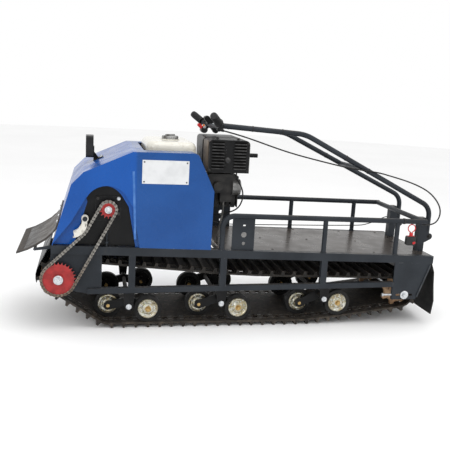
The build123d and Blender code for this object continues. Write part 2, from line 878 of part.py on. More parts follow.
def roller_places():
    """Each left roller as (x, z, y of its middle): the front one of an arm is inboard and the rear one outboard."""
    places = []
    for _, _, front_x, front_z, rear_x, rear_z in arm_rows():
        places.append((front_x, front_z, -INNER_ROLLER_Y))
        places.append((rear_x, rear_z, -OUTER_ROLLER_Y))
    return places


def roller_discs():
    """The pressed discs of the rollers: a hub, a web and a rim."""
    half = ROLLER_WIDTH / 2
    profile = area(
        [
            (ROLLER_BORE_R + FIT_GAP, -half),
            (ROLLER_HUB_R, -half),
            (ROLLER_HUB_R, half - DISC_WALL),
            (RIM_R - RIM_WALL, half - DISC_WALL),
            (RIM_R - RIM_WALL, -half),
            (RIM_R, -half),
            (RIM_R, half),
            (ROLLER_BORE_R + FIT_GAP, half),
        ]
    )
    disc = Rot(90, 0, 0) * revolve(Plane.XZ * profile, axis=Axis.Z)
    pieces = []
    for x, z, y in roller_places():
        pieces += both_sides(Pos(x, y, z) * disc)
    return pieces


def roller_tyres():
    """The rubber tyres of the rollers."""
    pieces = []
    for x, z, y in roller_places():
        ring = Pos(x, z) * (Circle(ROLLER_R) - Circle(RIM_R + FIT_GAP))
        pieces += both_sides(slab(ring, y - ROLLER_WIDTH / 2, y + ROLLER_WIDTH / 2))
    return pieces


def roller_bolts():
    """The bolts that the rollers turn on, each through its arm, with a head outside the roller."""
    pieces = []
    for x, z, y in roller_places():
        way = 1 if y > -ARM_Y else -1
        head = y + way * ROLLER_WIDTH / 2
        start = -ARM_Y - way * ARM_THICKNESS / 2
        low, high = sorted((start, head))
        bolt = round_bar(x, z, ROLLER_BORE_R, low, high)
        low, high = sorted((head, head + way * BOLT_HEAD_LENGTH))
        pieces += both_sides(bolt + round_bar(x, z, BOLT_HEAD_R, low, high))
    return pieces


def slide_plates():
    """The rear side plates with the slots for the rear axle, each with a flange along its sloping rear edge."""
    front = LOWER_REAR_X
    top = rail_top(front) - RAIL_HEIGHT
    rear_top = rail_top(RAIL_REAR_X - RAIL_HEIGHT / 4) - RAIL_HEIGHT
    outline = area(
        [
            (front, SLIDE_PLATE_BOTTOM_Z),
            (SLIDE_PLATE_BOTTOM_REAR_X, SLIDE_PLATE_BOTTOM_Z),
            (RAIL_REAR_X - RAIL_HEIGHT / 4, rear_top),
            (front, top),
        ]
    )
    slot = Pos(REAR_AXLE_X, REAR_AXLE_Z) * SlotOverall(SLIDE_SLOT_LENGTH, SLIDE_SLOT_HEIGHT)
    plate = slab(outline - slot, -HALF_WIDTH, -HALF_WIDTH + SLIDE_PLATE_THICKNESS)
    rear_edge = [
        (SLIDE_PLATE_BOTTOM_REAR_X, SLIDE_PLATE_BOTTOM_Z),
        (RAIL_REAR_X - RAIL_HEIGHT / 4, rear_top),
    ]
    flange = slab(ribbon(rear_edge, SLIDE_PLATE_THICKNESS), -HALF_WIDTH, -HALF_WIDTH + SLIDE_FLANGE + SLIDE_FLANGE)
    front_edge = [(front, SLIDE_PLATE_BOTTOM_Z), (front, LOWER_REAR_TOP - LOWER_SIZE)]
    lip = slab(ribbon(front_edge, -SLIDE_PLATE_THICKNESS), -HALF_WIDTH, -HALF_WIDTH + SLIDE_FLANGE)
    return both_sides(plate + flange + lip - rails()[0])


def rear_axle():
    """The rear axle: a tube between the slide plates, with a bolt, washer and nut through each slot."""
    inner = HALF_WIDTH - SLIDE_PLATE_THICKNESS
    axle = round_bar(REAR_AXLE_X, REAR_AXLE_Z, REAR_AXLE_R, -inner, inner)
    outer = HALF_WIDTH + WASHER_THICKNESS
    axle += round_bar(REAR_AXLE_X, REAR_AXLE_Z, REAR_BOLT_R, -outer, outer)
    for side in (-1, 1):
        low, high = sorted((side * HALF_WIDTH, side * outer))
        axle += round_bar(REAR_AXLE_X, REAR_AXLE_Z, WASHER_R, low, high)
        low, high = sorted((side * outer, side * (outer + BOLT_HEAD_LENGTH)))
        axle += slab(Pos(REAR_AXLE_X, REAR_AXLE_Z) * RegularPolygon(BOLT_HEAD_R, 6), low, high)
    return axle


def tension_bolts():
    """The bolts that push the rear axle's plates, in front of each slide plate."""
    y = -HALF_WIDTH + SLIDE_FLANGE / 2
    along_x = Plane(origin=(LOWER_REAR_X, y, REAR_AXLE_Z), x_dir=(0, 1, 0), z_dir=(-1, 0, 0))
    shank = extrude(along_x * Circle(TENSION_BOLT_R), amount=TENSION_BOLT_LENGTH)
    head = extrude(along_x * RegularPolygon(TENSION_HEAD_R, 6), amount=TENSION_HEAD_LENGTH)
    head = Pos(-TENSION_BOLT_LENGTH, 0, 0) * head
    return both_sides(shank + head)


def sprocket(teeth, phase):
    """The outline of a sprocket: a point each side of every gap, on a circle inside the chain's pins."""
    pitch_r = CHAIN_PITCH / (2 * sin(pi / teeth))
    root_r = pitch_r - CHAIN_ROLLER_R - BELT_GAP
    tip_r = pitch_r + CHAIN_ROLLER_R * 3 / 4
    gap = CHAIN_ROLLER_R + 2 * BELT_GAP
    points = []
    for i in range(teeth):
        angle = phase + 2 * pi * i / teeth
        for side, reach, width in (
            (1, root_r, gap / 2),
            (1, pitch_r, gap + BELT_GAP / 2),
            (1, tip_r, gap + CHAIN_ROLLER_R / 4),
            (-1, tip_r, gap + CHAIN_ROLLER_R / 4),
            (-1, pitch_r, gap + BELT_GAP / 2),
            (-1, root_r, gap / 2),
        ):
            turn = angle if side > 0 else angle + 2 * pi / teeth
            points.append((reach * cos(turn) - side * width * sin(turn), reach * sin(turn) + side * width * cos(turn)))
    return area(points)


def chain_guides():
    """The big sprocket, the small one and the tensioner's shoe outside the front run."""
    big_r = CHAIN_PITCH / (2 * sin(pi / BIG_TEETH))
    small_r = CHAIN_PITCH / (2 * sin(pi / SMALL_TEETH))
    big = (DRIVE_X, DRIVE_Z, big_r)
    small = (SMALL_SPROCKET_X, SMALL_SPROCKET_Z, small_r)
    heading = belt_runs([big, small])[3][2]
    reach = (SHOE_X - small[0]) * cos(heading) + (SHOE_Z - small[1]) * sin(heading)
    start = touch(small, heading)
    run_x = start[0] + reach * cos(heading)
    run_z = start[1] + reach * sin(heading)
    shoe_r = SHOE_R + CHAIN_PLATE_HALF
    out = shoe_r - SHOE_PRESS
    return [big, small, (run_x + out * sin(heading), run_z - out * cos(heading), -shoe_r)]


def chain():
    """The roller chain as one loop: two rows of plates joined by the rollers."""
    runs = belt_runs(chain_guides())
    length = belt_length(runs)
    count = round(length / CHAIN_PITCH)
    pitch = length / count
    stations = [i * pitch / 2 for i in range(2 * count)]
    halves = [CHAIN_PLATE_HALF, CHAIN_PLATE_HALF * CHAIN_WAIST_SHARE]
    outer = [belt_point(runs, s, halves[i % 2])[:2] for i, s in enumerate(stations)]
    inner = [belt_point(runs, s, -halves[i % 2])[:2] for i, s in enumerate(stations)]
    band = area(outer) - area(inner)
    near = CHAIN_Y - CHAIN_PLATE_GAP / 2
    far = CHAIN_Y + CHAIN_PLATE_GAP / 2
    plates = slab(band, near - CHAIN_PLATE_THICKNESS, near) + slab(band, far, far + CHAIN_PLATE_THICKNESS)
    rollers = [
        slab(Pos(*belt_point(runs, i * pitch, 0)[:2]) * RegularPolygon(CHAIN_ROLLER_R, 6), near, far)
        for i in range(count)
    ]
    return plates + rollers


def chain_phase(guide_index):
    """The angle of the chain roller nearest to the middle of a sprocket's wrap."""
    runs = belt_runs(chain_guides())
    length = belt_length(runs)
    pitch = length / round(length / CHAIN_PITCH)
    before = sum(run_length(run) for run in runs[: 2 * guide_index])
    middle = before + run_length(runs[2 * guide_index]) / 2
    heading = belt_point(runs, round(middle / pitch) * pitch, 0)[2]
    return heading - pi / 2


def big_sprocket():
    """The driven sprocket on the drive shaft, with its hub and bolt."""
    outline = Pos(DRIVE_X, DRIVE_Z) * (sprocket(BIG_TEETH, chain_phase(0)) - Circle(DRIVE_SHAFT_R + FIT_GAP))
    low = CHAIN_Y - SPROCKET_THICKNESS / 2
    hub = Pos(DRIVE_X, DRIVE_Z) * (Circle(HUB_R) - Circle(DRIVE_SHAFT_R + FIT_GAP))
    return slab(outline, low, low + SPROCKET_THICKNESS) + slab(hub, low - HUB_LENGTH / 2, low)


def small_sprocket():
    """The driving sprocket on the jackshaft."""
    place = Pos(SMALL_SPROCKET_X, SMALL_SPROCKET_Z)
    outline = place * (sprocket(SMALL_TEETH, chain_phase(1)) - Circle(JACKSHAFT_R + FIT_GAP))
    low = CHAIN_Y - SPROCKET_THICKNESS / 2
    hub = place * (Circle(HUB_R * 3 / 4) - Circle(JACKSHAFT_R + FIT_GAP))
    return slab(outline, low, low + SPROCKET_THICKNESS) + slab(hub, low - HUB_LENGTH / 2, low)


def shoe_ring(face_r, thickness, start, end):
    """A sketch of part of a ring round the middle of the shoe's curve, inside a radius and between two angles."""
    x, z, _ = chain_guides()[2]
    steps = 6
    points = []
    for radius, first, last in ((face_r, start, end), (face_r - thickness, end, start)):
        for i in range(steps + 1):
            angle = first + (last - first) * i / steps
            points.append((x + radius * cos(angle), z + radius * sin(angle)))
    return area(points)


def chain_tensioner():
    """The moulded shoe that presses the chain's front run: a lip, its thick back, and a neck with an eye."""
    x, z, r = chain_guides()[2]
    face_r = -r - CHAIN_PLATE_HALF - BELT_GAP
    toward = atan2(SHOE_Z - z, SHOE_X - x)
    half = radians(SHOE_HALF_ANGLE)
    outline = shoe_ring(face_r, SHOE_LIP, toward - half, toward + half)
    outline += shoe_ring(face_r, SHOE_THICKNESS, toward - half * 7 / 8, toward + half / 2)
    neck_r = face_r - SHOE_THICKNESS / 2
    foot = (x + neck_r * cos(toward + half / 4), z + neck_r * sin(toward + half / 4))
    pivot = (TENSIONER_PIVOT_X, TENSIONER_PIVOT_Z)
    outline += strap(foot, pivot, SHOE_NECK_R)
    outline += Pos(*pivot) * Circle(SHOE_EYE_R)
    outline -= Pos(*pivot) * Circle(ROLLER_BORE_R + FIT_GAP)
    return slab(outline, CHAIN_Y - SHOE_WIDTH / 2, CHAIN_Y + SHOE_WIDTH / 2)


def tensioner_arm():
    """The post and bolt that the shoe turns on, and the adjuster rod with its nut behind the chain."""
    pivot = (TENSIONER_PIVOT_X, TENSIONER_PIVOT_Z)
    low = CHAIN_Y - SHOE_WIDTH / 2
    high = PLATE_INNER_Y - DRIVE_PANEL_THICKNESS
    post = round_bar(*pivot, ROLLER_BORE_R, low, high) + round_bar(*pivot, BOLT_HEAD_R, low - BOLT_HEAD_LENGTH, low)
    y = -HALF_WIDTH + RAIL_WIDTH * (1 - ADJUSTER_Y_SHARE)
    upright = Plane(origin=(ADJUSTER_X, y, rail_top(ADJUSTER_X)))
    rod = extrude(upright * Circle(ADJUSTER_R), amount=ADJUSTER_LENGTH)
    nut = Plane(origin=(ADJUSTER_X, y, ADJUSTER_NUT_Z)) * RegularPolygon(ADJUSTER_NUT_R, 6)
    return [post, (rod + extrude(nut, amount=ADJUSTER_NUT_R)) - slab_below_rail()]


def jackshaft():
    """The shaft that brings the engine's drive to the small sprocket."""
    low = CHAIN_Y - SPROCKET_THICKNESS / 2 - HUB_LENGTH
    return round_bar(SMALL_SPROCKET_X, SMALL_SPROCKET_Z, JACKSHAFT_R, low, low + JACKSHAFT_LENGTH)


def panel_edge():
    """What lies behind the slanting front edge of the drive panel."""
    points = [(x, rail_top(x) + rise) for x, rise in zip(PANEL_XS, PANEL_RISES)]
    rear = HOOD_FRONT_X + HOOD_LENGTH
    return area(points + [(rear, points[-1][1]), (rear, rail_top(rear))])


def arch_backing():
    """What the arch shows: its outline grown by a margin, inside the hood and above the rails."""
    room = offset(hood_outline(), amount=-HOOD_SHEET, kind=Kind.INTERSECTION)
    return arch_outline(PANEL_MARGIN) & room & area([(x, rail_top(x) + rise) for x, rise in hood_room()])


def hood_room():
    """The corners of the space above the rails along the hood, as station and height above the rail."""
    rear = HOOD_FRONT_X + HOOD_LENGTH
    return [(HOOD_FRONT_X, 0), (rear, 0), (rear, HOOD_HEIGHT), (HOOD_FRONT_X, HOOD_HEIGHT)]


def drive_panel():
    """The panel behind the chain's arch, with the jackshaft's flanged bearing and its bolts."""
    centre = Pos(SMALL_SPROCKET_X, SMALL_SPROCKET_Z)
    bore = centre * Circle(JACKSHAFT_R + FIT_GAP)
    outer = PLATE_INNER_Y - DRIVE_PANEL_THICKNESS
    panel = slab((arch_backing() & panel_edge()) - bore, outer, PLATE_INNER_Y)
    side = 2 * (BEARING_HALF_LENGTH + BOLT_HEAD_R)
    flange = centre * RectangleRounded(side, side, BOLT_HEAD_R) - bore
    panel += slab(flange, outer - BEARING_THICKNESS / 2, outer)
    panel += slab(centre * Circle(BEARING_R) - bore, outer - BEARING_THICKNESS, outer - BEARING_THICKNESS / 2)
    for way in (-1, 1):
        for rise in (-BEARING_BOLT_RISE / 2, BEARING_BOLT_RISE):
            bolt = (SMALL_SPROCKET_X + way * BEARING_HALF_LENGTH, SMALL_SPROCKET_Z + rise)
            panel += round_bar(*bolt, BEARING_BOLT_R, outer - BEARING_THICKNESS, outer - BEARING_THICKNESS / 2)
    return panel


def hood_points(length_shares, height_shares):
    """Points given as shares of the hood's length and height."""
    return [
        (HOOD_FRONT_X + a * HOOD_LENGTH, HOOD_BOTTOM_Z + b * HOOD_HEIGHT)
        for a, b in zip(length_shares, height_shares)
    ]


def hood_outline():
    """The side outline of the hood, with its lower corners on the rail."""
    points = hood_points(HOOD_LENGTH_SHARES, HOOD_HEIGHT_SHARES)
    points[0] = (points[0][0], rail_top(points[0][0]))
    points[-1] = (points[-1][0], rail_top(points[-1][0]))
    return area(points)


def hood():
    """The sheet hood: open below and behind, with the tank's opening on top and the chain's arch on the left."""
    outer = hood_outline()
    inner = offset(outer, amount=-HOOD_SHEET, kind=Kind.INTERSECTION)
    inner = inner + Pos(0, -2 * HOOD_SHEET) * inner + Pos(2 * HOOD_SHEET, 0) * inner
    inner = inner + Pos(2 * HOOD_SHEET, -2 * HOOD_SHEET) * inner
    shell = slab(outer, -HALF_WIDTH, HALF_WIDTH)
    shell -= slab(inner, -HALF_WIDTH + HOOD_SHEET, HALF_WIDTH - HOOD_SHEET)
    shell -= block(
        TANK_OPENING_FRONT_X,
        HOOD_FRONT_X + HOOD_LENGTH + CUT_OVERRUN,
        -HALF_WIDTH + TANK_OPENING_LEFT_MARGIN,
        HALF_WIDTH - TANK_OPENING_RIGHT_MARGIN,
        HOOD_BOTTOM_Z + HOOD_HEIGHT / 2,
        HOOD_BOTTOM_Z + HOOD_HEIGHT + CUT_OVERRUN,
    )
    shell -= slab(arch_outline(0), -HALF_WIDTH - CUT_OVERRUN, -HALF_WIDTH + HOOD_SHEET)
    lip = slab(arch_outline(HOOD_SHEET), -HALF_WIDTH, -HALF_WIDTH + ARCH_LIP)
    lip -= slab(arch_outline(0), -HALF_WIDTH - CUT_OVERRUN, -HALF_WIDTH + ARCH_LIP + CUT_OVERRUN)
    lip = lip & slab(outer, -HALF_WIDTH, HALF_WIDTH)
    strip = (arch_outline(HOOD_SHEET) & outer) - Pos(-ARCH_STRIP, 0) * arch_outline(0)
    lip += slab(strip, -HALF_WIDTH + ARCH_LIP - HOOD_SHEET, -HALF_WIDTH + ARCH_LIP)
    room = offset(outer, amount=-HOOD_SHEET / 2, kind=Kind.INTERSECTION)
    web = (arch_outline(PANEL_MARGIN) & room & area([(x, rail_top(x) + rise) for x, rise in hood_room()])) - panel_edge()
    return shell + lip + slab(web, PLATE_INNER_Y - DRIVE_PANEL_THICKNESS, PLATE_INNER_Y)


def arch_outline(grow):
    """The outline of the chain's arch in the left side, grown by a margin."""
    legs = hood_points(ARCH_LENGTH_SHARES, ARCH_HEIGHT_SHARES)
    below = HOOD_BOTTOM_Z - RAIL_HEIGHT
    middle = (ARCH_X, SMALL_SPROCKET_Z)
    outline = area(legs[:3] + [middle] + legs[3:] + [(legs[-1][0], below), (legs[0][0], below)])
    outline += Pos(ARCH_X, ARCH_TOP_Z - ARCH_R) * Circle(ARCH_R)
    return offset(outline, amount=grow, kind=Kind.INTERSECTION) if grow else outline


def hood_plate():
    """The bare plate on the hood's left side."""
    return block(
        PLATE_FRONT_X,
        PLATE_FRONT_X + PLATE_LENGTH,
        -HALF_WIDTH - PLATE_THICKNESS,
        -HALF_WIDTH,
        PLATE_BOTTOM_Z,
        PLATE_BOTTOM_Z + PLATE_HEIGHT,
    )


def flap_points():
    """The rubber flap's lower face from its tip up to the hood."""
    nose = hood_points(HOOD_LENGTH_SHARES[:2], HOOD_HEIGHT_SHARES[:2])
    slope = (nose[1][1] - nose[0][1]) / (nose[1][0] - nose[0][0])
    reach = HOOD_FRONT_X - FLAP_TIP_X
    points = [
        (FLAP_TIP_X + a * reach, FLAP_TIP_Z + b * FLAP_RISE)
        for a, b in zip(FLAP_LENGTH_SHARES, FLAP_RISE_SHARES)
    ]
    for z in (FLAP_TIP_Z + FLAP_RISE, FLAP_TIP_Z + FLAP_RISE + FLAP_SEAT_LENGTH):
        points.append((nose[0][0] + (z - nose[0][1]) / slope - SEAT_GAP, z))
    return points


def front_flap():
    """The rubber flap that hangs forward from the hood."""
    half = HALF_WIDTH - FLAP_INSET
    return slab(ribbon(flap_points(), FLAP_THICKNESS), -half, half)


def mud_flap():
    """The rubber flap behind the track."""
    front = RAIL_REAR_X + MUD_FLAP_THICKNESS
    top = RAIL_REAR_TOP - RAIL_HEIGHT
    points = [
        (front + a * (MUD_FLAP_REAR_X - front), MUD_FLAP_BOTTOM_Z + b * (top - MUD_FLAP_BOTTOM_Z))
        for a, b in zip(MUD_FLAP_REACH_SHARES, MUD_FLAP_HEIGHT_SHARES)
    ]
    points.append((front, top + RAIL_HEIGHT / 2))
    half = HALF_WIDTH - MUD_FLAP_INSET
    return slab(ribbon(points, MUD_FLAP_THICKNESS), -half, half)


def deck_board():
    """The deck board between the rails, flush with their tops."""
    half = RAIL_INNER_Y - DECK_SIDE_GAP
    outline = [
        (DECK_FRONT_X, rail_top(DECK_FRONT_X) - DECK_THICKNESS),
        (RAIL_REAR_X, RAIL_REAR_TOP - DECK_THICKNESS),
        (RAIL_REAR_X, RAIL_REAR_TOP),
        (DECK_FRONT_X, rail_top(DECK_FRONT_X)),
    ]
    board = slab(outline, -half, half)
    reach = HANDLE_POST_SIZE / 2 + DECK_SIDE_GAP
    for y in (-HANDLE_Y, HANDLE_Y):
        board -= block(
            HANDLE_POST_REAR_X - HANDLE_POST_SIZE - DECK_SIDE_GAP,
            RAIL_REAR_X + CUT_OVERRUN,
            y - reach,
            y + reach,
            RAIL_REAR_TOP - 2 * DECK_THICKNESS,
            RAIL_REAR_TOP + 2 * DECK_THICKNESS,
        )
    notch = HOSE_R + HOSE_NOTCH_GAP
    return board - block(
        DECK_FRONT_X - CUT_OVERRUN,
        HOSE_FOOT_X + notch,
        HOSE_FOOT_Y - notch,
        HOSE_FOOT_Y + notch,
        rail_top(HOSE_FOOT_X) - 2 * DECK_THICKNESS,
        rail_top(HOSE_FOOT_X) + 2 * DECK_THICKNESS,
    )


def hose_route():
    """The engine hose's points, down to its foot on the cross member under the deck's front edge."""
    foot_z = rail_top(HOSE_FOOT_X) - DECK_THICKNESS + SEAT_GAP
    return HOSE_ROUTE + ((HOSE_FOOT_X, HOSE_FOOT_Y, foot_z),)


def hoop_axis(x):
    """The height of the cargo hoops' top tube axis at station x."""
    return along(x, HOOP_FRONT_X, HOOP_FRONT_TOP, CROSS_TUBE_X, HOOP_REAR_TOP) - HOOP_R


def cargo_hoops():
    """The two bent tubes beside the deck, each with two uprights."""
    y = -HALF_WIDTH + HOOP_R
    points = [
        (HOOP_FRONT_X, y, rail_top(HOOP_FRONT_X)),
        (HOOP_FRONT_X, y, hoop_axis(HOOP_FRONT_X)),
        (CROSS_TUBE_X + HOOP_R, y, hoop_axis(CROSS_TUBE_X + HOOP_R)),
    ]
    hoop = tube_along(points, HOOP_BEND_R, HOOP_R)
    for x in HOOP_UPRIGHT_XS:
        hoop += tube_along([(x, y, rail_top(x)), (x, y, hoop_axis(x))], None, HOOP_UPRIGHT_R)
    return both_sides(hoop - slab_below_rail())


def slab_below_rail():
    """The space below the rails' tops, which trims what stands on them."""
    return slab(rail_outline(), -FRAME_WIDTH, FRAME_WIDTH)


def gusset_plates():
    """The plates with lashing holes between rail and hoop."""
    bottom = rail_top(GUSSET_HOLE_X)
    height = hoop_axis(GUSSET_HOLE_X) - HOOP_R - bottom
    outline = area(
        [
            (GUSSET_FRONT_X, rail_top(GUSSET_FRONT_X)),
            (GUSSET_REAR_X, rail_top(GUSSET_REAR_X)),
            (GUSSET_REAR_X, hoop_axis(GUSSET_REAR_X) - HOOP_R),
            (GUSSET_FRONT_X, hoop_axis(GUSSET_FRONT_X) - HOOP_R),
        ]
    )
    for radius, share in zip(GUSSET_HOLE_RS, GUSSET_HOLE_SHARES):
        outline -= Pos(GUSSET_HOLE_X, bottom + share * height) * Circle(radius)
    y = -HALF_WIDTH + HOOP_R - GUSSET_THICKNESS / 2
    return both_sides(slab(outline, y, y + GUSSET_THICKNESS) - cargo_hoops()[0])


def hoop_cross_tube():
    """The tube across the rear that joins the two hoops."""
    y = HALF_WIDTH - HOOP_R
    tube = round_bar(CROSS_TUBE_X, hoop_axis(CROSS_TUBE_X), HOOP_R, -y, y)
    for hoop in cargo_hoops():
        tube -= hoop
    return tube


def handle_posts():
    """The square posts at the rear of the deck, each with two ears for the handle's hinge."""
    front = HANDLE_POST_REAR_X - HANDLE_POST_SIZE
    half = HANDLE_POST_SIZE / 2
    outline = [
        (front, rail_top(front) - DECK_THICKNESS),
        (HANDLE_POST_REAR_X, rail_top(HANDLE_POST_REAR_X) - DECK_THICKNESS),
        (HANDLE_POST_REAR_X, HANDLE_POST_TOP),
        (front, HANDLE_POST_TOP),
    ]
    post = slab(outline, -HANDLE_Y - half, -HANDLE_Y + half)
    ear = area(
        [
            (HANDLE_POST_REAR_X, HINGE_Z - 2 * EAR_R),
            (HINGE_X + EAR_R / 2, HINGE_Z - EAR_R * 7 / 8),
            (HINGE_X, HINGE_Z + EAR_R),
            (HANDLE_POST_REAR_X + EAR_R / 2, HINGE_Z + 2 * EAR_R),
            (HANDLE_POST_REAR_X + EAR_R / 2, HANDLE_POST_TOP - EAR_R),
            (HANDLE_POST_REAR_X, HANDLE_POST_TOP),
        ]
    )
    ear += Pos(HINGE_X, HINGE_Z) * Circle(EAR_R)
    inner = HANDLE_TUBE_R + HINGE_SIDE_GAP
    ears = slab(ear, -HANDLE_Y - inner - EAR_THICKNESS, -HANDLE_Y - inner)
    ears += slab(ear, -HANDLE_Y + inner, -HANDLE_Y + inner + EAR_THICKNESS)
    outer = inner + EAR_THICKNESS
    pin = round_bar(HINGE_X, HINGE_Z, HINGE_PIN_R, -HANDLE_Y - outer, -HANDLE_Y + outer)
    return both_sides(post + ears + pin)


def drop_at(y):
    """How much lower the handle's front end is at y, because the handle is twisted."""
    return HANDLE_TWIST / 2 * (1 + y / BAR_BEND_Y)


def handle_line(x, y):
    """The height of a handle tube's axis at station x on the long slope."""
    return along(x, HANDLE_CREST_X, HANDLE_CREST_Z - drop_at(y), HANDLE_UPRIGHT_X, HANDLE_KNEE_Z)


def handle_tube(y):
    """One bent tube of the handle, with an eye on the hinge pin."""
    points = [
        (HANDLE_UPRIGHT_X, y, HINGE_Z),
        (HANDLE_UPRIGHT_X, y, HANDLE_KNEE_Z),
        (HANDLE_CREST_X, y, HANDLE_CREST_Z - drop_at(y)),
        (BAR_X, y, HANDLE_FRONT_Z - drop_at(y)),
    ]
    tube = tube_along(points, [HANDLE_KNEE_R, HANDLE_CREST_R], HANDLE_TUBE_R) - handlebar()
    tube += round_bar(HINGE_X, HINGE_Z, HINGE_EYE_R, y - HINGE_EYE_WIDTH / 2, y + HINGE_EYE_WIDTH / 2)
    return tube - round_bar(HINGE_X, HINGE_Z, HINGE_PIN_R + FIT_GAP, y - HANDLE_Y, y + HANDLE_Y)


def handle_tubes():
    """The handle's two sides."""
    return [handle_tube(-HANDLE_Y), handle_tube(HANDLE_Y)]


def handle_cross_tube():
    """The tube that joins the handle's two sides."""
    ends = [(HANDLE_CROSS_X, y, handle_line(HANDLE_CROSS_X, y)) for y in (-HANDLE_Y, HANDLE_Y)]
    tube = tube_along(ends, None, HANDLE_CROSS_R)
    for side in handle_tubes():
        tube -= side
    return tube


def handlebar_points():
    """The handlebar's corners, left to right."""
    left, right = drop_at(-BAR_BEND_Y), drop_at(BAR_BEND_Y)
    return [
        (BAR_END_X, -BAR_END_Y, BAR_END_Z - left),
        (BAR_X, -BAR_BEND_Y, BAR_Z - left),
        (BAR_X, BAR_BEND_Y, BAR_Z - right),
        (BAR_END_X, BAR_END_Y, BAR_END_Z - right),
    ]


def handlebar():
    """The bent bar across the handle's front, with its ends swept up."""
    return tube_along(handlebar_points(), BAR_BEND_R, BAR_R)


def grips():
    """The rubber grips on the handlebar's ends."""
    left_end, left_bend, right_bend, right_end = handlebar_points()
    pieces = []
    for end, bend in ((left_end, left_bend), (right_end, right_bend)):
        share = GRIP_LENGTH / hypot(*(b - a for a, b in zip(end, bend)))
        inner = tuple(a + share * (b - a) for a, b in zip(end, bend))
        outer = tuple(a - share * GRIP_CAP / GRIP_LENGTH * (b - a) for a, b in zip(end, bend))
        pieces.append(tube_along([outer, inner], None, GRIP_R) - tube_along([end, bend], None, BAR_R))
    return pieces


def from_bar(place, y):
    """The station and height of a place measured from the handlebar's axis at y."""
    return (BAR_X + place[0], BAR_Z - drop_at(y) + place[1])


def lever_bracket():
    """The lever's plate on the bar, the perch beside the right grip, and the clamp with the cable's fitting."""
    bar = handlebar()
    low = CONTROL_Y - CONTROL_WIDTH / 2
    lever = slab(strap(from_bar(LEVER_TOP, CONTROL_Y), from_bar(LEVER_FOOT, CONTROL_Y), LEVER_R), low, low + CONTROL_WIDTH)
    low = SIDE_CLAMP_Y - CLAMP_WIDTH / 2
    perch = slab(strap(from_bar(PERCH_TOP, low), from_bar((0, 0), low), CLAMP_R), low, low + CLAMP_WIDTH)
    clamp = slab(strap(from_bar(CABLE_CLAMP_FOOT, -low), from_bar((0, 0), -low), CLAMP_R), -low - CLAMP_WIDTH, -low)
    start, after = Vector(*THROTTLE_ROUTE[0]), Vector(*THROTTLE_ROUTE[1])
    back = start - (after - start).normalized() * FITTING_LENGTH
    fitting = tube_along([tuple(back), tuple(start)], None, FITTING_R)
    return [lever - bar, perch - bar, (clamp + fitting) - bar]


def control_box():
    """The round throttle control under the bar, on its clamp."""
    knob = Pos(*from_bar(KNOB_PLACE, CONTROL_Y)) * Circle(KNOB_R)
    low = CONTROL_Y - CONTROL_WIDTH / 2
    high = low + KNOB_LENGTH
    arm = strap(from_bar(KNOB_PLACE, CONTROL_Y), from_bar((0, 0), CONTROL_Y), CLAMP_R)
    return slab(knob, low, high) + slab(arm, high - CLAMP_WIDTH, high) - handlebar()


def red_switch():
    """The red switch in front of the control box."""
    outline = strap(from_bar(SWITCH_TOP, CONTROL_Y), from_bar(SWITCH_FOOT, CONTROL_Y), SWITCH_R)
    outline -= Pos(*from_bar(KNOB_PLACE, CONTROL_Y)) * Circle(KNOB_R)
    return slab(outline, CONTROL_Y - CONTROL_WIDTH / 2, CONTROL_Y + CONTROL_WIDTH / 2)


def ring_place():
    """The middle of the stop switch's ring, which hangs just under the left hoop."""
    z = hoop_axis(RING_X) - HOOP_R - SEAT_GAP - RING_R - RING_TUBE_R
    return (RING_X, -HALF_WIDTH + HOOP_R, z)


def kill_switch_cord():
    """The coiled ring of the stop switch's cord."""
    return Pos(*ring_place()) * Rot(90, 0, 0) * Torus(RING_R, RING_TUBE_R)


def kill_switch_clip():
    """The stop switch's clip with its bulb, under the ring."""
    x, y, z = ring_place()
    top = z - RING_R - RING_TUBE_R - SEAT_GAP
    bulb = extrude(Plane(origin=(x, y, top - BULB_HEIGHT)) * Circle(BULB_R), amount=BULB_HEIGHT)
    low = top - BULB_HEIGHT - CLIP_HEIGHT
    clip = block(x - CLIP_LENGTH / 2, x + CLIP_LENGTH / 2, y - CLIP_WIDTH / 2, y + CLIP_WIDTH / 2, low, low + CLIP_HEIGHT)
    return fillet(clip.edges().filter_by(Axis.Y), CLIP_CORNER_R) + bulb


def engine_block():
    """The engine's crankcase with its mounting foot."""
    case = block(ENGINE_FRONT_X, ENGINE_REAR_X, ENGINE_LEFT_Y, ENGINE_RIGHT_Y, ENGINE_BASE_Z, ENGINE_TOP_Z)
    return fillet(case.edges().filter_by(Axis.Y), CASTING_FILLET)


def engine_base():
    """The two bars across the rails that carry the engine."""
    pieces = []
    for x in (ENGINE_FRONT_X, ENGINE_REAR_X - BASE_BAR):
        outline = [
            (x, rail_top(x)),
            (x + BASE_BAR, rail_top(x + BASE_BAR)),
            (x + BASE_BAR, ENGINE_BASE_Z),
            (x, ENGINE_BASE_Z),
        ]
        half = HALF_WIDTH - HOOD_SHEET - ENGINE_BAR_GAP
        pieces.append(slab(outline, -half, half))
    return pieces


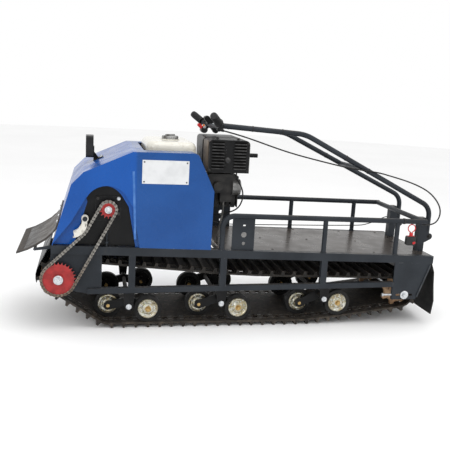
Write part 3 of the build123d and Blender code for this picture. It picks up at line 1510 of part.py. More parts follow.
def cylinder_head():
    """The finned cylinder and head behind the crankcase."""
    head = block(ENGINE_REAR_X, HEAD_REAR_X, -HEAD_HALF_WIDTH, HEAD_HALF_WIDTH, HEAD_BOTTOM_Z, HEAD_TOP_Z)
    step = (HEAD_REAR_X - ENGINE_REAR_X) / FIN_COUNT
    for i in range(FIN_COUNT):
        x = ENGINE_REAR_X + (i + 1 / 2) * step
        ring = block(
            x,
            x + FIN_GAP,
            -HEAD_HALF_WIDTH - CUT_OVERRUN,
            HEAD_HALF_WIDTH + CUT_OVERRUN,
            HEAD_BOTTOM_Z - CUT_OVERRUN,
            HEAD_TOP_Z + CUT_OVERRUN,
        )
        ring -= block(
            x,
            x + FIN_GAP,
            -HEAD_HALF_WIDTH + FIN_DEPTH,
            HEAD_HALF_WIDTH - FIN_DEPTH,
            HEAD_BOTTOM_Z + FIN_DEPTH,
            HEAD_TOP_Z - FIN_DEPTH,
        )
        head -= ring
    return head


def carburettor():
    """The carburettor on the head's left side, with its knob and its bowl."""
    body = block(CARB_FRONT_X, CARB_REAR_X, CARB_LEFT_Y, -HEAD_HALF_WIDTH, CARB_BOTTOM_Z, CARB_TOP_Z)
    body = fillet(body.edges().filter_by(Axis.Y), CARB_FILLET)
    body += round_bar(CARB_KNOB_X, CARB_KNOB_Z, CARB_KNOB_R, CARB_LEFT_Y - CARB_KNOB_DEPTH, CARB_LEFT_Y)
    low = CARB_LEFT_Y + CARB_FILLET / 2
    return body + block(CARB_BOWL_FRONT_X, CARB_BOWL_REAR_X, low, -HEAD_HALF_WIDTH, CARB_BOWL_Z, CARB_BOTTOM_Z)


def fuel_tank():
    """The fuel tank on its foot above the crankcase."""
    tank = block(TANK_FRONT_X, TANK_REAR_X, TANK_LEFT_Y, TANK_RIGHT_Y, TANK_BOTTOM_Z, TANK_TOP_Z)
    tank = fillet(tank.edges().filter_by(Axis.Z), TANK_CORNER_R)
    tank = fillet(tank.faces().sort_by(Axis.Z)[-1].edges(), TANK_FILLET)
    foot = block(
        TANK_FRONT_X + 2 * TANK_FOOT,
        TANK_REAR_X - TANK_FOOT,
        ENGINE_LEFT_Y + TANK_FOOT,
        ENGINE_RIGHT_Y - TANK_FOOT,
        ENGINE_TOP_Z,
        TANK_BOTTOM_Z + TANK_FOOT,
    )
    return tank + foot


def fuel_cap():
    """The ribbed cap on the tank."""
    cap = Pos(CAP_X, CAP_Y, TANK_TOP_Z) * extrude(Circle(CAP_R), amount=CAP_HEIGHT)
    return cap


def muffler():
    """The muffler in its guard, with two columns of louvres on the left face."""
    guard = block(MUFFLER_FRONT_X, MUFFLER_REAR_X, MUFFLER_LEFT_Y, MUFFLER_RIGHT_Y, MUFFLER_BOTTOM_Z, MUFFLER_TOP_Z)
    edges = guard.edges().filter_by(Axis.Y).sort_by(Axis.Z)[-2:]
    guard = fillet(edges, MUFFLER_FILLET)
    column = (MUFFLER_REAR_X - MUFFLER_FRONT_X - 2 * LOUVRE_MARGIN - LOUVRE_COLUMN_GAP) / 2
    step = (MUFFLER_TOP_Z - MUFFLER_BOTTOM_Z - 2 * MUFFLER_FILLET) / LOUVRE_COUNT
    cuts = []
    for x in (MUFFLER_FRONT_X + LOUVRE_MARGIN, MUFFLER_REAR_X - LOUVRE_MARGIN - column):
        for i in range(LOUVRE_COUNT):
            z = MUFFLER_BOTTOM_Z + MUFFLER_FILLET + i * step
            cuts.append(
                block(x, x + column, MUFFLER_LEFT_Y - CUT_OVERRUN, MUFFLER_LEFT_Y + LOUVRE_DEPTH, z, z + LOUVRE_HEIGHT)
            )
    leg = block(
        MUFFLER_FRONT_X + TANK_FOOT,
        HEAD_REAR_X - TANK_FOOT,
        -HEAD_HALF_WIDTH + FIN_DEPTH,
        MUFFLER_RIGHT_Y - ENGINE_BAR_GAP,
        HEAD_TOP_Z,
        MUFFLER_BOTTOM_Z,
    )
    return guard - cuts + leg + exhaust_pipe()


def exhaust_pipe():
    """The exhaust pipe behind the muffler."""
    along_x = Plane(origin=(MUFFLER_REAR_X, PIPE_Y, PIPE_Z), x_dir=(0, 1, 0), z_dir=(1, 0, 0))
    return extrude(along_x * (Circle(PIPE_R) - Circle(PIPE_R - PIPE_WALL)), amount=PIPE_END_X - MUFFLER_REAR_X)


def air_filter():
    """The air filter's housing beside the muffler."""
    box = block(MUFFLER_FRONT_X, MUFFLER_REAR_X, FILTER_LEFT_Y, FILTER_RIGHT_Y, MUFFLER_BOTTOM_Z, MUFFLER_TOP_Z)
    box = fillet(box.edges().filter_by(Axis.Y) + box.edges().filter_by(Axis.Z), FILTER_FILLET)
    leg = block(
        MUFFLER_FRONT_X + TANK_FOOT,
        HEAD_REAR_X - TANK_FOOT,
        0,
        HEAD_HALF_WIDTH - FIN_DEPTH,
        HEAD_TOP_Z,
        MUFFLER_BOTTOM_Z,
    )
    return box + leg


def recoil_starter():
    """The round starter housing on the engine's right side."""
    return round_bar(STARTER_X, STARTER_Z, STARTER_R, ENGINE_RIGHT_Y, ENGINE_RIGHT_Y + STARTER_DEPTH)


def headlamp():
    """The square lamp: a housing with a recessed lens."""
    top = LAMP_BOTTOM_Z + LAMP_SIDE
    half = LAMP_SIDE / 2
    lamp = block(LAMP_FRONT_X, LAMP_FRONT_X + LAMP_DEPTH, -half, half, LAMP_BOTTOM_Z, top)
    lamp = fillet(lamp.edges().filter_by(Axis.X), LAMP_CORNER_R)
    lamp -= block(
        LAMP_FRONT_X - CUT_OVERRUN,
        LAMP_FRONT_X + LAMP_BEZEL / 2,
        -half + LAMP_BEZEL,
        half - LAMP_BEZEL,
        LAMP_BOTTOM_Z + LAMP_BEZEL,
        top - LAMP_BEZEL,
    )
    return lamp


def hood_top(x):
    """The height of the hood's sloping front top at station x."""
    a, b = hood_points(HOOD_LENGTH_SHARES[2:4], HOOD_HEIGHT_SHARES[2:4])
    return along(x, a[0], a[1], b[0], b[1])


def lamp_bracket():
    """The bent bracket from the hood to the back of the lamp."""
    back = LAMP_FRONT_X + LAMP_DEPTH
    points = [
        (back + LAMP_FOOT_LENGTH, hood_top(back + LAMP_FOOT_LENGTH) + SEAT_GAP),
        (back, hood_top(back) + SEAT_GAP),
        (back, LAMP_BOTTOM_Z + LAMP_SIDE / 2),
    ]
    bracket = slab(ribbon(points, -LAMP_BRACKET_THICKNESS), -LAMP_SIDE / 4, LAMP_SIDE / 4)
    gusset = [
        (back + LAMP_BRACKET_THICKNESS / 2, hood_top(back) + LAMP_BRACKET_THICKNESS),
        (back + LAMP_LUG_X, hood_top(back + LAMP_LUG_X) + LAMP_BRACKET_THICKNESS / 2),
        (back + LAMP_BRACKET_THICKNESS / 2, LAMP_BOTTOM_Z + LAMP_LUG_X),
    ]
    return bracket + slab(gusset, -LAMP_BRACKET_THICKNESS / 2, LAMP_BRACKET_THICKNESS / 2)


def flap_rod_place():
    """The rod's place, against the lower face of the flap."""
    a, b = flap_points()[1:3]
    heading = atan2(b[1] - a[1], b[0] - a[0])
    reach = FLAP_ROD_R + SEAT_GAP
    x = a[0] + FLAP_ROD_SHARE * (b[0] - a[0])
    z = a[1] + FLAP_ROD_SHARE * (b[1] - a[1])
    return (x + reach * sin(heading), z - reach * cos(heading))


def flap_bracket():
    """The arms in front of the rails, with a rod across them that holds the flap up."""
    outer = -RAIL_INNER_Y
    rod = flap_rod_place()
    end = rail_top(RAIL_FRONT_X) - FLAP_ARM_HEIGHT
    outline = area(
        [
            (RAIL_FRONT_X, end - FLAP_ARM_HEIGHT / 2),
            (RAIL_FRONT_X, end + FLAP_ARM_HEIGHT / 2),
            (rod[0], rod[1] + FLAP_ROD_R),
            (rod[0], rod[1] - FLAP_ROD_R),
        ]
    )
    arm = slab(outline + Pos(*rod) * Circle(FLAP_ROD_R), outer - FLAP_ARM_THICKNESS, outer)
    left, right = both_sides(arm)
    return left + round_bar(*rod, FLAP_ROD_R, outer, -outer) + right


def tow_hitch():
    """The tongue with the tow pin's bore behind the rear cross bar."""
    top = RAIL_REAR_TOP - DECK_THICKNESS / 2
    half = HITCH_WIDTH / 2
    tongue = block(RAIL_REAR_X, RAIL_REAR_X + HITCH_LENGTH, -half, half, top - HITCH_THICKNESS, top)
    tongue = fillet(tongue.edges().filter_by(Axis.Z).sort_by(Axis.X)[-2:], half - DECK_THICKNESS)
    x = RAIL_REAR_X + HITCH_LENGTH / 2
    bore = Pos(x, 0, top - HITCH_THICKNESS) * extrude(Circle(HITCH_BORE_R), amount=HITCH_THICKNESS)
    return tongue - bore


CORDS = ("throttle_cable", "cable_loop", "plug_lead", "engine_hose", "deck_cable", "kill_switch_cord")
NODES = {
    "upper_rails": rails,
    "lower_tubes": lower_tubes,
    "frame_posts": posts,
    "cross_members": lambda: cross_members() + engine_base(),
    "drive_plates": drive_plates,
    "shafts_and_axle": lambda: [drive_shaft(), jackshaft(), rear_axle()],
    "front_guard": front_guard,
    "track": track,
    "track_stars": track_stars,
    "balance_arms": balance_arms,
    "arm_brackets": arm_brackets,
    "arm_pivot_tubes": pivot_tubes,
    "roller_discs": roller_discs,
    "roller_tyres": roller_tyres,
    "roller_bolts": roller_bolts,
    "rear_slide_plates": slide_plates,
    "tension_bolts": tension_bolts,
    "big_sprocket": big_sprocket,
    "small_sprocket": small_sprocket,
    "chain": chain,
    "tensioner_shoe": chain_tensioner,
    "tensioner_arm": tensioner_arm,
    "drive_panel": drive_panel,
    "hood": hood,
    "hood_plate": hood_plate,
    "front_flap": front_flap,
    "flap_bracket": flap_bracket,
    "mud_flap": mud_flap,
    "deck_board": deck_board,
    "cargo_hoops": cargo_hoops,
    "gusset_plates": gusset_plates,
    "hoop_cross_tube": hoop_cross_tube,
    "handle_posts": handle_posts,
    "handle_tubes": handle_tubes,
    "handle_cross_tube": handle_cross_tube,
    "handlebar": handlebar,
    "handle_grips": grips,
    "engine_block": engine_block,
    "cylinder_head": cylinder_head,
    "fuel_tank": fuel_tank,
    "fuel_cap": fuel_cap,
    "muffler_guard": muffler,
    "air_filter": air_filter,
    "recoil_starter": recoil_starter,
    "headlamp": headlamp,
    "lamp_bracket": lamp_bracket,
    "tow_hitch": tow_hitch,
    "carburettor": carburettor,
    "lever_bracket": lever_bracket,
    "control_box": control_box,
    "red_switch": red_switch,
    "kill_switch_clip": kill_switch_clip,
    "kill_switch_cord": kill_switch_cord,
    "throttle_cable": lambda: cord(THROTTLE_ROUTE, CABLE_R),
    "cable_loop": lambda: cord(LOOP_ROUTE, CABLE_R),
    "plug_lead": lambda: cord(PLUG_LEAD_ROUTE, CABLE_R),
    "engine_hose": lambda: cord(hose_route(), HOSE_R),
    "deck_cable": lambda: cord(DECK_CABLE_ROUTE, DECK_CABLE_R),
}

forms = {node: Compound(children=solids_of(make())) for node, make in NODES.items()}
origin = middle_of([form.bounding_box() for node, form in forms.items() if node not in CORDS])
print("origin at station", origin)
for node, form in forms.items():
    export_step(Pos(*origin).inverse() * form, f"parts/{node}.step")
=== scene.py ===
"""The tracked snow tug: finishes, small parts, cables, floor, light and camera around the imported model."""
import json

import bpy
import numpy as np
from mathutils import Matrix, Vector


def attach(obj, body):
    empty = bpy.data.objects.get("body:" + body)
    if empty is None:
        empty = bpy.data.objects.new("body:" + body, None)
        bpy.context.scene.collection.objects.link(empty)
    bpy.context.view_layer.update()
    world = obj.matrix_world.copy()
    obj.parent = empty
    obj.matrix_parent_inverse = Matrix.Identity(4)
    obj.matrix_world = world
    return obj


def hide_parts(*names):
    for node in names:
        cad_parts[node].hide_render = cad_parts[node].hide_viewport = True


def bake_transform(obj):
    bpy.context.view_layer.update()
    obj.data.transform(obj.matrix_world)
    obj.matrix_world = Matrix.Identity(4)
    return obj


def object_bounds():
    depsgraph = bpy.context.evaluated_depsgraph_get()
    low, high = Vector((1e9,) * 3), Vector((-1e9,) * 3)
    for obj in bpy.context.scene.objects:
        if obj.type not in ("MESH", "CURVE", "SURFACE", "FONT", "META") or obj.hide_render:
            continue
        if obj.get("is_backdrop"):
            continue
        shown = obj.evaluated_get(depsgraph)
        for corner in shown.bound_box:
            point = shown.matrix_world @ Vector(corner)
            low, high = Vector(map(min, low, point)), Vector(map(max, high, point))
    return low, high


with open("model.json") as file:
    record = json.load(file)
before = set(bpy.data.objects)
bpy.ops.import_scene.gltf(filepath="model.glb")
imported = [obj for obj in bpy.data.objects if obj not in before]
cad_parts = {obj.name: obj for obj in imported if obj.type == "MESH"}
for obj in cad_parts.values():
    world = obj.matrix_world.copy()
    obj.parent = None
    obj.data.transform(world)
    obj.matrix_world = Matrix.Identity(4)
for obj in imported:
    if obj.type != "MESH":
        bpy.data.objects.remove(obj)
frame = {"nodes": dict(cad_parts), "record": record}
CAD_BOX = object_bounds()
RECORD = frame["record"]
MOUNTS = {m["name"]: np.array(m["pos_m"]) for m in RECORD["mounts"]}

# Stations: millimetres from the front ends of the lower frame tubes. X runs rearward, Y to the machine's
# right and Z up. The tow pin's station gives the shift to the model's own metres.
TOW_PIN_STATION = np.array([1697.0, 0.0, 0.0])
MM = 0.001
STATION_SHIFT = (MOUNTS["tow_pin_bore"] - TOW_PIN_STATION * MM) * (1, 1, 0)

# The photograph's camera, in stations.
CAMERA_STATION = np.array([0.0, -3134.0, 1104.0])
CAMERA_RIGHT = (0.9787, -0.1989, 0.0548)
CAMERA_UP = (-0.0122, 0.2092, 0.978)
CAMERA_BACK = (-0.206, -0.9574, 0.2023)
FOCAL_PIXELS = 650
FRAME_PIXELS = 450
SENSOR_MM = 36

# Lights: place, aim, size and power of each soft box, in metres and watts.
SOFT_BOXES = [
    {"name": "top_box", "place": (0.2, -0.8, 3.6), "aim": (0, 0, 0.4), "size": 3.0, "power": 40},
    {"name": "front_box", "place": (-3.0, -3.2, 2.4), "aim": (0, 0, 0.5), "size": 2.2, "power": 34},
    {"name": "rear_box", "place": (3.4, -2.0, 2.2), "aim": (0.2, 0, 0.4), "size": 2.0, "power": 12},
]
FLOOR_RADIUS = 14
SURROUND = 1.0

# Sizes that the small parts are fitted to, in millimetres.
SIDE_Y = 288
RAIL_FRONT, RAIL_REAR = (-159, 402), (1678, 357)
DRIVE_X, DRIVE_Z = -126, 251
SMALL_X, SMALL_Z = 85.5, 567.5
SPROCKET_FACE_Y = -311
TRACK_PITCH, STAR_TEETH, BAND, LUG_HEIGHT = 56, 8, 8, 18
GUIDE_YS, GUIDE_WIDTH = (-208.5, -173.5, 173.5, 208.5), 9
ROLLER_R, BELT_GAP = 64, 0.6
ROLLER_Z = 90.6
OUTER_ROLLER_FACE, INNER_ROLLER_FACE = 244, 164
# Balance arms, front to rear: pivot x and z, front roller's x, rear roller's x, and the rear one's lift.
ARMS = [(186, 113, 95, 277, 0), (617, 123, 525, 707, 0), (1126, 139, 1032, 1210, 18)]
CHAIN_PITCH, BIG_TEETH, SMALL_TEETH = 15.875, 29, 14
CHAIN_PLATE_HALF, CHAIN_FACE_Y = 7, -307.8
SHOE = {"x": -35, "z": 479, "r": 68, "press": 27}
HANDLE_Y, HANDLE_R = 165, 12.5
KNEE, CREST, HANDLE_FRONT = (1694, 583), (1005, 922), (592, 946)
HANDLE_TWIST, BAR_BEND_Y = 18, 190
GRIP_END, GRIP_BEND = (535.0, 288, 991), (592.0, BAR_BEND_Y, 941)
HOOP_Y, HOOP_BEAD_DROP = 275.5, 9
GUARD_FACE_Y, LOUVRE_LENGTH, LOUVRE_PITCH = -170, 58, 14.5
TANK_CAP_X, STARTER_CENTRE = 380, (400, 170, 530)
LENS_HALF_Y, LENS_HALF_Z, LENS_MIDDLE_Z = 43, 43.5, 815
FLAP_X = np.array([-304.0, -262, -224, -180, -157.5])
FLAP_Z = np.array([353.4, 368, 388, 416, 438])


def station(*place):
    """The point of the model, in metres, at a station given in millimetres."""
    return np.array(place, float) * MM + STATION_SHIFT


def add(name, data):
    """A new object in the scene."""
    made = bpy.data.objects.new(name, data)
    bpy.context.scene.collection.objects.link(made)
    return made


def turns(count):
    """The angles of a circle's even steps."""
    return 2 * np.pi * np.arange(count) / count


# Finishes


class Finish:
    """A node material in the making. Each method adds nodes and returns the socket that they give."""

    def __init__(self, name, rough=0.5, metal=0.0, level=0.5, coat=0.0, coat_rough=0.1):
        self.material = bpy.data.materials.new(name)
        self.material.use_nodes = True
        self.tree = self.material.node_tree
        self.shader = self.tree.nodes["Principled BSDF"].inputs
        self.shader["Roughness"].default_value = rough
        self.shader["Metallic"].default_value = metal
        self.shader["Specular IOR Level"].default_value = level
        self.shader["Coat Weight"].default_value = coat
        self.shader["Coat Roughness"].default_value = coat_rough
        self.coords = self.tree.nodes.new("ShaderNodeTexCoord")
        self.place = self.coords.outputs["Object"]

    def feed(self, socket, value):
        """Links a socket to another, or sets it to a number, a colour or a grey of one number."""
        if isinstance(value, bpy.types.NodeSocket):
            self.tree.links.new(value, socket)
        else:
            socket.default_value = (*np.broadcast_to(value, 3), 1) if socket.type == "RGBA" else value

    def node(self, kind, inputs=(), **settings):
        """Adds a node with its settings, and its inputs as (name or number, value or socket)."""
        made = self.tree.nodes.new(kind)
        for key, value in settings.items():
            setattr(made, key, value)
        for key, value in inputs:
            self.feed(made.inputs[key], value)
        return made

    def noise(self, scale, detail=4.0, rough=0.55, stretch=None, twist=0.0):
        """Cloudy noise, 0 to 1, with `scale` features to the metre, on coordinates that may be stretched."""
        place = self.place
        if stretch:
            place = self.node("ShaderNodeMapping", [("Vector", place), ("Scale", stretch)]).outputs["Vector"]
        inputs = [("Vector", place), ("Scale", scale), ("Detail", detail), ("Roughness", rough)]
        return self.node("ShaderNodeTexNoise", inputs + [("Distortion", twist)]).outputs[0]

    def band(self, value, low, high, a=0.0, b=1.0):
        """Carries value from low..high to a..b and holds it there."""
        inputs = [("Value", value), ("From Min", low), ("From Max", high), ("To Min", a), ("To Max", b)]
        return self.node("ShaderNodeMapRange", inputs, interpolation_type="SMOOTHSTEP").outputs["Result"]

    def times(self, a, b):
        """a times b."""
        return self.node("ShaderNodeMath", [(0, a), (1, b)], operation="MULTIPLY").outputs[0]

    def axis(self, name, of="Object"):
        """One coordinate of the place, or of the surface's normal."""
        return self.node("ShaderNodeSeparateXYZ", [(0, self.coords.outputs[of])]).outputs[name]

    def mix(self, share, a, b):
        """Colour a where share is 0, and b where it is 1."""
        return self.node("ShaderNodeMix", [(0, share), (6, a), (7, b)], data_type="RGBA").outputs[2]

    def drift(self, noise, span):
        """Noise of (features to the metre, detail, roughness), carried by the band's (low, high, a, b)."""
        return self.band(self.noise(*noise), *span)

    def cloud(self, noise, span, a, b):
        """Colour a that drifts to b."""
        return self.mix(self.drift(noise, span), a, b)

    def edges(self, radius=0.0015, low=0.0005, high=0.02):
        """1 on sharp edges and 0 on flats: how far a rounded normal leans from the true one."""
        soft = self.node("ShaderNodeBevel", [("Radius", radius)], samples=6).outputs[0]
        true = self.node("ShaderNodeNewGeometry").outputs["Normal"]
        dot = self.node("ShaderNodeVectorMath", [(0, soft), (1, true)], operation="DOT_PRODUCT")
        lean = self.node("ShaderNodeMath", [(0, 1.0), (1, dot.outputs["Value"])], operation="SUBTRACT")
        return self.band(lean.outputs[0], low, high)

    def rubbed(self, noise, span, radius=0.0015):
        """Sharp edges, in the patches where the noise is high."""
        return self.times(self.edges(radius), self.drift(noise, span))

    def bump(self, height, depth, strength=1.0, under=None):
        """A normal from a height of 0 to 1, `depth` metres high."""
        inputs = [("Height", height), ("Distance", depth), ("Strength", strength)]
        if under is not None:
            inputs.append(("Normal", under))
        return self.node("ShaderNodeBump", inputs).outputs["Normal"]

    def grain(self, scale, detail, depth):
        """A normal from fine noise."""
        return self.bump(self.noise(scale, detail), depth)

    def give(self, colour, normal=None, rough=None):
        """Ends the material with its colour and, where they change, its normal and roughness."""
        for name, value in (("Base Color", colour), ("Normal", normal), ("Roughness", rough)):
            if value is not None:
                self.feed(self.shader[name], value)
        return self.material


def dust_and_top_highlight(f, colour, amount, dust=(0.2, 0.16, 0.12), low=0.55, high=0.98):
    """Dust that lies on faces turned up, thin and in patches; on the hood the pale blue is a painted
    highlight instead.
    """
    up = f.band(f.axis("Z", of="Normal"), low, high)
    patches = f.drift((9, 5, 0.65), (0.35, 0.72))
    return f.mix(f.times(f.times(up, patches), amount), colour, dust)


def inward_shade(f):
    """1 on faces that look towards the machine's middle plane, where shade falls, and 0 on the others."""
    return f.band(f.times(f.axis("Y", of="Normal"), f.axis("Y")), -0.04, 0.0, 1, 0)


def plain(name, cloud, span, tones, grain, **shader):
    """A finish of two tones that drift into each other, over a fine grain."""
    def build():
        f = Finish(name, **shader)
        return f.give(f.cloud(cloud, span, *tones), f.grain(*grain))
    return build


def slate_paint():
    """The frame's dark slate paint: orange peel, a slow change of tone, brown dust on top and worn edges."""
    f = Finish("slate_paint", rough=0.42, level=0.2, coat=0.06, coat_rough=0.3)
    tone = f.cloud((5, 3), (0.35, 0.65), (0.0135, 0.017, 0.022), (0.0215, 0.026, 0.0325))
    speck = f.cloud((420, 2), (0.6, 0.75, 0, 0.3), tone, (0.08, 0.09, 0.1))
    soil = f.cloud((7, 6, 0.7), (0.62, 0.8, 0, 0.35), speck, (0.075, 0.06, 0.046))
    worn = f.mix(f.rubbed((60, 5), (0.52, 0.72)), soil, 0.15)
    coat = dust_and_top_highlight(f, worn, 0.42, (0.115, 0.092, 0.07))
    return f.give(coat, f.grain(900, 2, 0.00012), f.drift((30, 4), (0.3, 0.7, 0.36, 0.52)))


def soot_paint():
    """Near-black satin paint of the arms and the engine's sheets, with grey rubbed edges and light dust."""
    f = Finish("soot_paint", rough=0.36, level=0.16, coat=0.05, coat_rough=0.2)
    tone = f.cloud((12, 4), (0.35, 0.68), (0.0035, 0.0037, 0.0042), (0.0095, 0.0096, 0.01))
    worn = f.mix(f.rubbed((45, 5), (0.42, 0.66), 0.0018), tone, (0.065, 0.065, 0.066))
    coat = dust_and_top_highlight(f, worn, 0.22, (0.08, 0.075, 0.07))
    return f.give(coat, f.grain(520, 3, 0.0003), f.drift((24, 5), (0.3, 0.7, 0.26, 0.48)))


def scorched_steel():
    """The muffler guard's front plate: bare sheet gone brown and straw with heat, in streaks from the top."""
    f = Finish("scorched_steel", rough=0.4, metal=0.55)
    heat = f.noise(14, 5, 0.6, stretch=(1, 1, 0.35), twist=0.6)
    tone = f.mix(f.band(heat, 0.32, 0.66), (0.045, 0.03, 0.02), (0.22, 0.155, 0.1))
    straw = f.cloud((60, 5), (0.58, 0.74), tone, (0.34, 0.27, 0.19))
    return f.give(straw, f.grain(300, 4, 0.0003))


def hood_paint():
    """The hood's glossy blue, chips on edges, painted shade aft of the side's fold and a painted highlight on
    top.
    """
    f = Finish("hood_paint", rough=0.28, level=0.16, coat=0.22, coat_rough=0.12)
    front = f.cloud((3, 3), (0.3, 0.7), (0.003, 0.062, 0.285), (0.005, 0.078, 0.345))
    rear = f.cloud((4, 3), (0.3, 0.7), (0.006, 0.056, 0.22), (0.0095, 0.07, 0.262))
    fold = station(200, 0, 0)[0]
    # Painted shade: the same blue, darker aft of the side's fold.
    tone = f.mix(f.band(f.axis("X"), fold - 0.004, fold + 0.012), front, rear)
    chipped = f.mix(f.rubbed((120, 5), (0.58, 0.7), 0.0016), tone, (0.2, 0.27, 0.38))
    # Painted highlight: a paler blue, in patches, on faces turned up.
    coat = dust_and_top_highlight(f, chipped, 0.4, (0.13, 0.17, 0.25), 0.25, 0.85)
    return f.give(coat, f.grain(260, 2, 0.0001), f.drift((14, 5), (0.3, 0.75, 0.2, 0.38)))


def red_paint():
    """The sprockets' red paint, rubbed to steel on the tooth tips and specked with grease."""
    f = Finish("red_paint", rough=0.42, level=0.3, coat=0.15, coat_rough=0.25)
    tone = f.cloud((30, 4), (0.35, 0.65), (0.22, 0.01, 0.01), (0.36, 0.02, 0.02))
    specks = f.cloud((330, 3), (0.64, 0.72), tone, (0.05, 0.02, 0.02))
    worn = f.mix(f.rubbed((140, 4), (0.45, 0.6), 0.0014), specks, (0.22, 0.17, 0.16))
    return f.give(worn, f.grain(500, 3, 0.0002))


def gold_zinc():
    """Bright zinc with yellow passivate, from silver to green and straw, with painted shade on faces turned
    in.
    """
    f = Finish("gold_zinc", rough=0.3, metal=0.92)
    straw = f.mix(f.band(f.noise(34, 4, twist=1.5), 0.38, 0.62), (0.4, 0.34, 0.22), (0.62, 0.62, 0.56))
    green = f.mix(f.band(f.noise(60, 4, twist=2), 0.52, 0.68), straw, (0.3, 0.3, 0.17))
    dirt = f.cloud((95, 5), (0.54, 0.72), green, (0.1, 0.07, 0.045))
    # Painted shade: near black on faces turned towards the machine's middle plane.
    shaded_inside = f.mix(inward_shade(f), dirt, 0.01)
    return f.give(shaded_inside, f.grain(240, 4, 0.0003), f.drift((70, 4), (0.3, 0.7, 0.22, 0.44)))


def bright_zinc():
    """Clear zinc of bolts, washers and nuts, slightly blue, with grey stains."""
    f = Finish("bright_zinc", rough=0.3, metal=0.85)
    tone = f.cloud((90, 4), (0.35, 0.68), (0.46, 0.48, 0.5), (0.72, 0.74, 0.76))
    return f.give(f.cloud((150, 4), (0.62, 0.76), tone, (0.16, 0.14, 0.12)), f.grain(700, 3, 0.0001))


def guide_steel():
    """The track's guide blocks: grey steel, rubbed bright on their edges."""
    f = Finish("guide_steel", rough=0.45, metal=0.3)
    tone = f.cloud((70, 4), (0.35, 0.68), (0.03, 0.027, 0.024), (0.1, 0.095, 0.088))
    return f.give(f.mix(f.edges(0.002, 0.001, 0.04), tone, (0.2, 0.19, 0.18)), f.grain(400, 3, 0.0003))


def chain_steel():
    """Oiled grey-brown chain steel, browner low down, with rubbed plate edges."""
    f = Finish("chain_steel", rough=0.4, metal=0.6)
    grey = f.cloud((110, 4), (0.35, 0.68), (0.135, 0.128, 0.115), (0.3, 0.285, 0.262))
    brown = f.cloud((110, 4), (0.35, 0.68), (0.085, 0.06, 0.042), (0.2, 0.155, 0.115))
    tone = f.mix(f.band(f.axis("Z"), 0.22, 0.4), brown, grey)
    return f.give(f.mix(f.edges(0.0008, 0.0008, 0.03), tone, (0.36, 0.34, 0.31)), f.grain(800, 3, 0.0002))


def dark_casting():
    """Sooty cast iron and black engine sheet, with grey dust and a brown bloom."""
    f = Finish("dark_casting", rough=0.55, level=0.35)
    tone = f.cloud((22, 5), (0.35, 0.7), 0.0085, (0.034, 0.032, 0.03))
    bloom = f.cloud((60, 5), (0.62, 0.78), tone, (0.085, 0.06, 0.038))
    return f.give(dust_and_top_highlight(f, bloom, 0.4), f.grain(350, 4, 0.0006))


def cast_aluminium():
    """Grey pressure-cast aluminium, dulled with oil and dust."""
    f = Finish("cast_aluminium", rough=0.45, metal=0.6)
    tone = f.cloud((18, 5), (0.3, 0.7), (0.2, 0.2, 0.195), (0.42, 0.42, 0.41))
    return f.give(f.cloud((40, 6), (0.52, 0.7), tone, (0.07, 0.06, 0.05)), f.grain(600, 3, 0.0005))


def tank_paint():
    """The tank's warm cream enamel, with thin soil in patches."""
    f = Finish("tank_paint", rough=0.26, coat=0.5, coat_rough=0.12)
    tone = f.cloud((6, 4), (0.3, 0.7), (0.6, 0.575, 0.5), (0.72, 0.7, 0.63))
    soil = f.times(f.drift((55, 6), (0.5, 0.74)), 0.4)
    return f.give(f.mix(soil, tone, (0.34, 0.29, 0.21)), f.grain(200, 2, 0.0001))


def track_rubber():
    """Brown-black moulded rubber with dry mud in patches, and painted shade that makes it near black higher
    up.
    """
    f = Finish("track_rubber", rough=0.72, level=0.3)
    tone = f.cloud((12, 5, 0.65), (0.32, 0.68), (0.012, 0.0105, 0.009), (0.044, 0.036, 0.029))
    mud = f.cloud((48, 6, 0.7), (0.5, 0.72), tone, (0.095, 0.074, 0.054))
    # Painted shade: above the lower run the rubber goes most of the way to near black.
    high = f.mix(f.band(f.axis("Z"), 0.05, 0.19), mud, f.mix(0.72, mud, 0.012))
    worn = f.mix(f.edges(0.002, 0.001, 0.04), high, (0.085, 0.07, 0.056))
    return f.give(worn, f.bump(f.noise(60, 5, 0.7), 0.0018, under=f.grain(520, 4, 0.0006)))


def tyre_rubber():
    """The rollers' black rubber, polished and dull in patches."""
    f = Finish("tyre_rubber", rough=0.55, level=0.25)
    tone = f.cloud((20, 5), (0.35, 0.7), 0.005, (0.015, 0.0145, 0.014))
    return f.give(tone, f.grain(700, 3, 0.0003), f.drift((45, 4), (0.3, 0.7, 0.44, 0.72)))


def flap_rubber():
    """The front flap's grey rubber: a grained face, with brown dirt towards the machine."""
    f = Finish("flap_rubber", rough=0.48, level=0.4)
    tone = f.cloud((7, 4), (0.3, 0.7), 0.032, (0.085, 0.084, 0.082))
    dirt = f.cloud((26, 6, 0.7), (0.5, 0.74), tone, (0.085, 0.066, 0.05))
    front, rear = station(-290, 0, 0)[0], station(-170, 0, 0)[0]
    brown = f.mix(f.band(f.axis("X"), front, rear, 0, 0.75), dirt, (0.062, 0.05, 0.04))
    cells = f.node("ShaderNodeTexVoronoi", [("Vector", f.place), ("Scale", 420)]).outputs["Distance"]
    return f.give(brown, f.bump(cells, 0.0008, 0.7), f.drift((20, 4), (0.3, 0.7, 0.36, 0.6)))


def tan_polymer():
    """The stars' tan cast polymer, scuffed and stained brown."""
    f = Finish("tan_polymer", rough=0.5, level=0.35)
    tone = f.cloud((35, 5), (0.35, 0.66), (0.3, 0.165, 0.085), (0.46, 0.3, 0.175))
    return f.give(f.cloud((80, 5), (0.54, 0.72), tone, (0.1, 0.055, 0.032)), f.grain(260, 4, 0.0006))


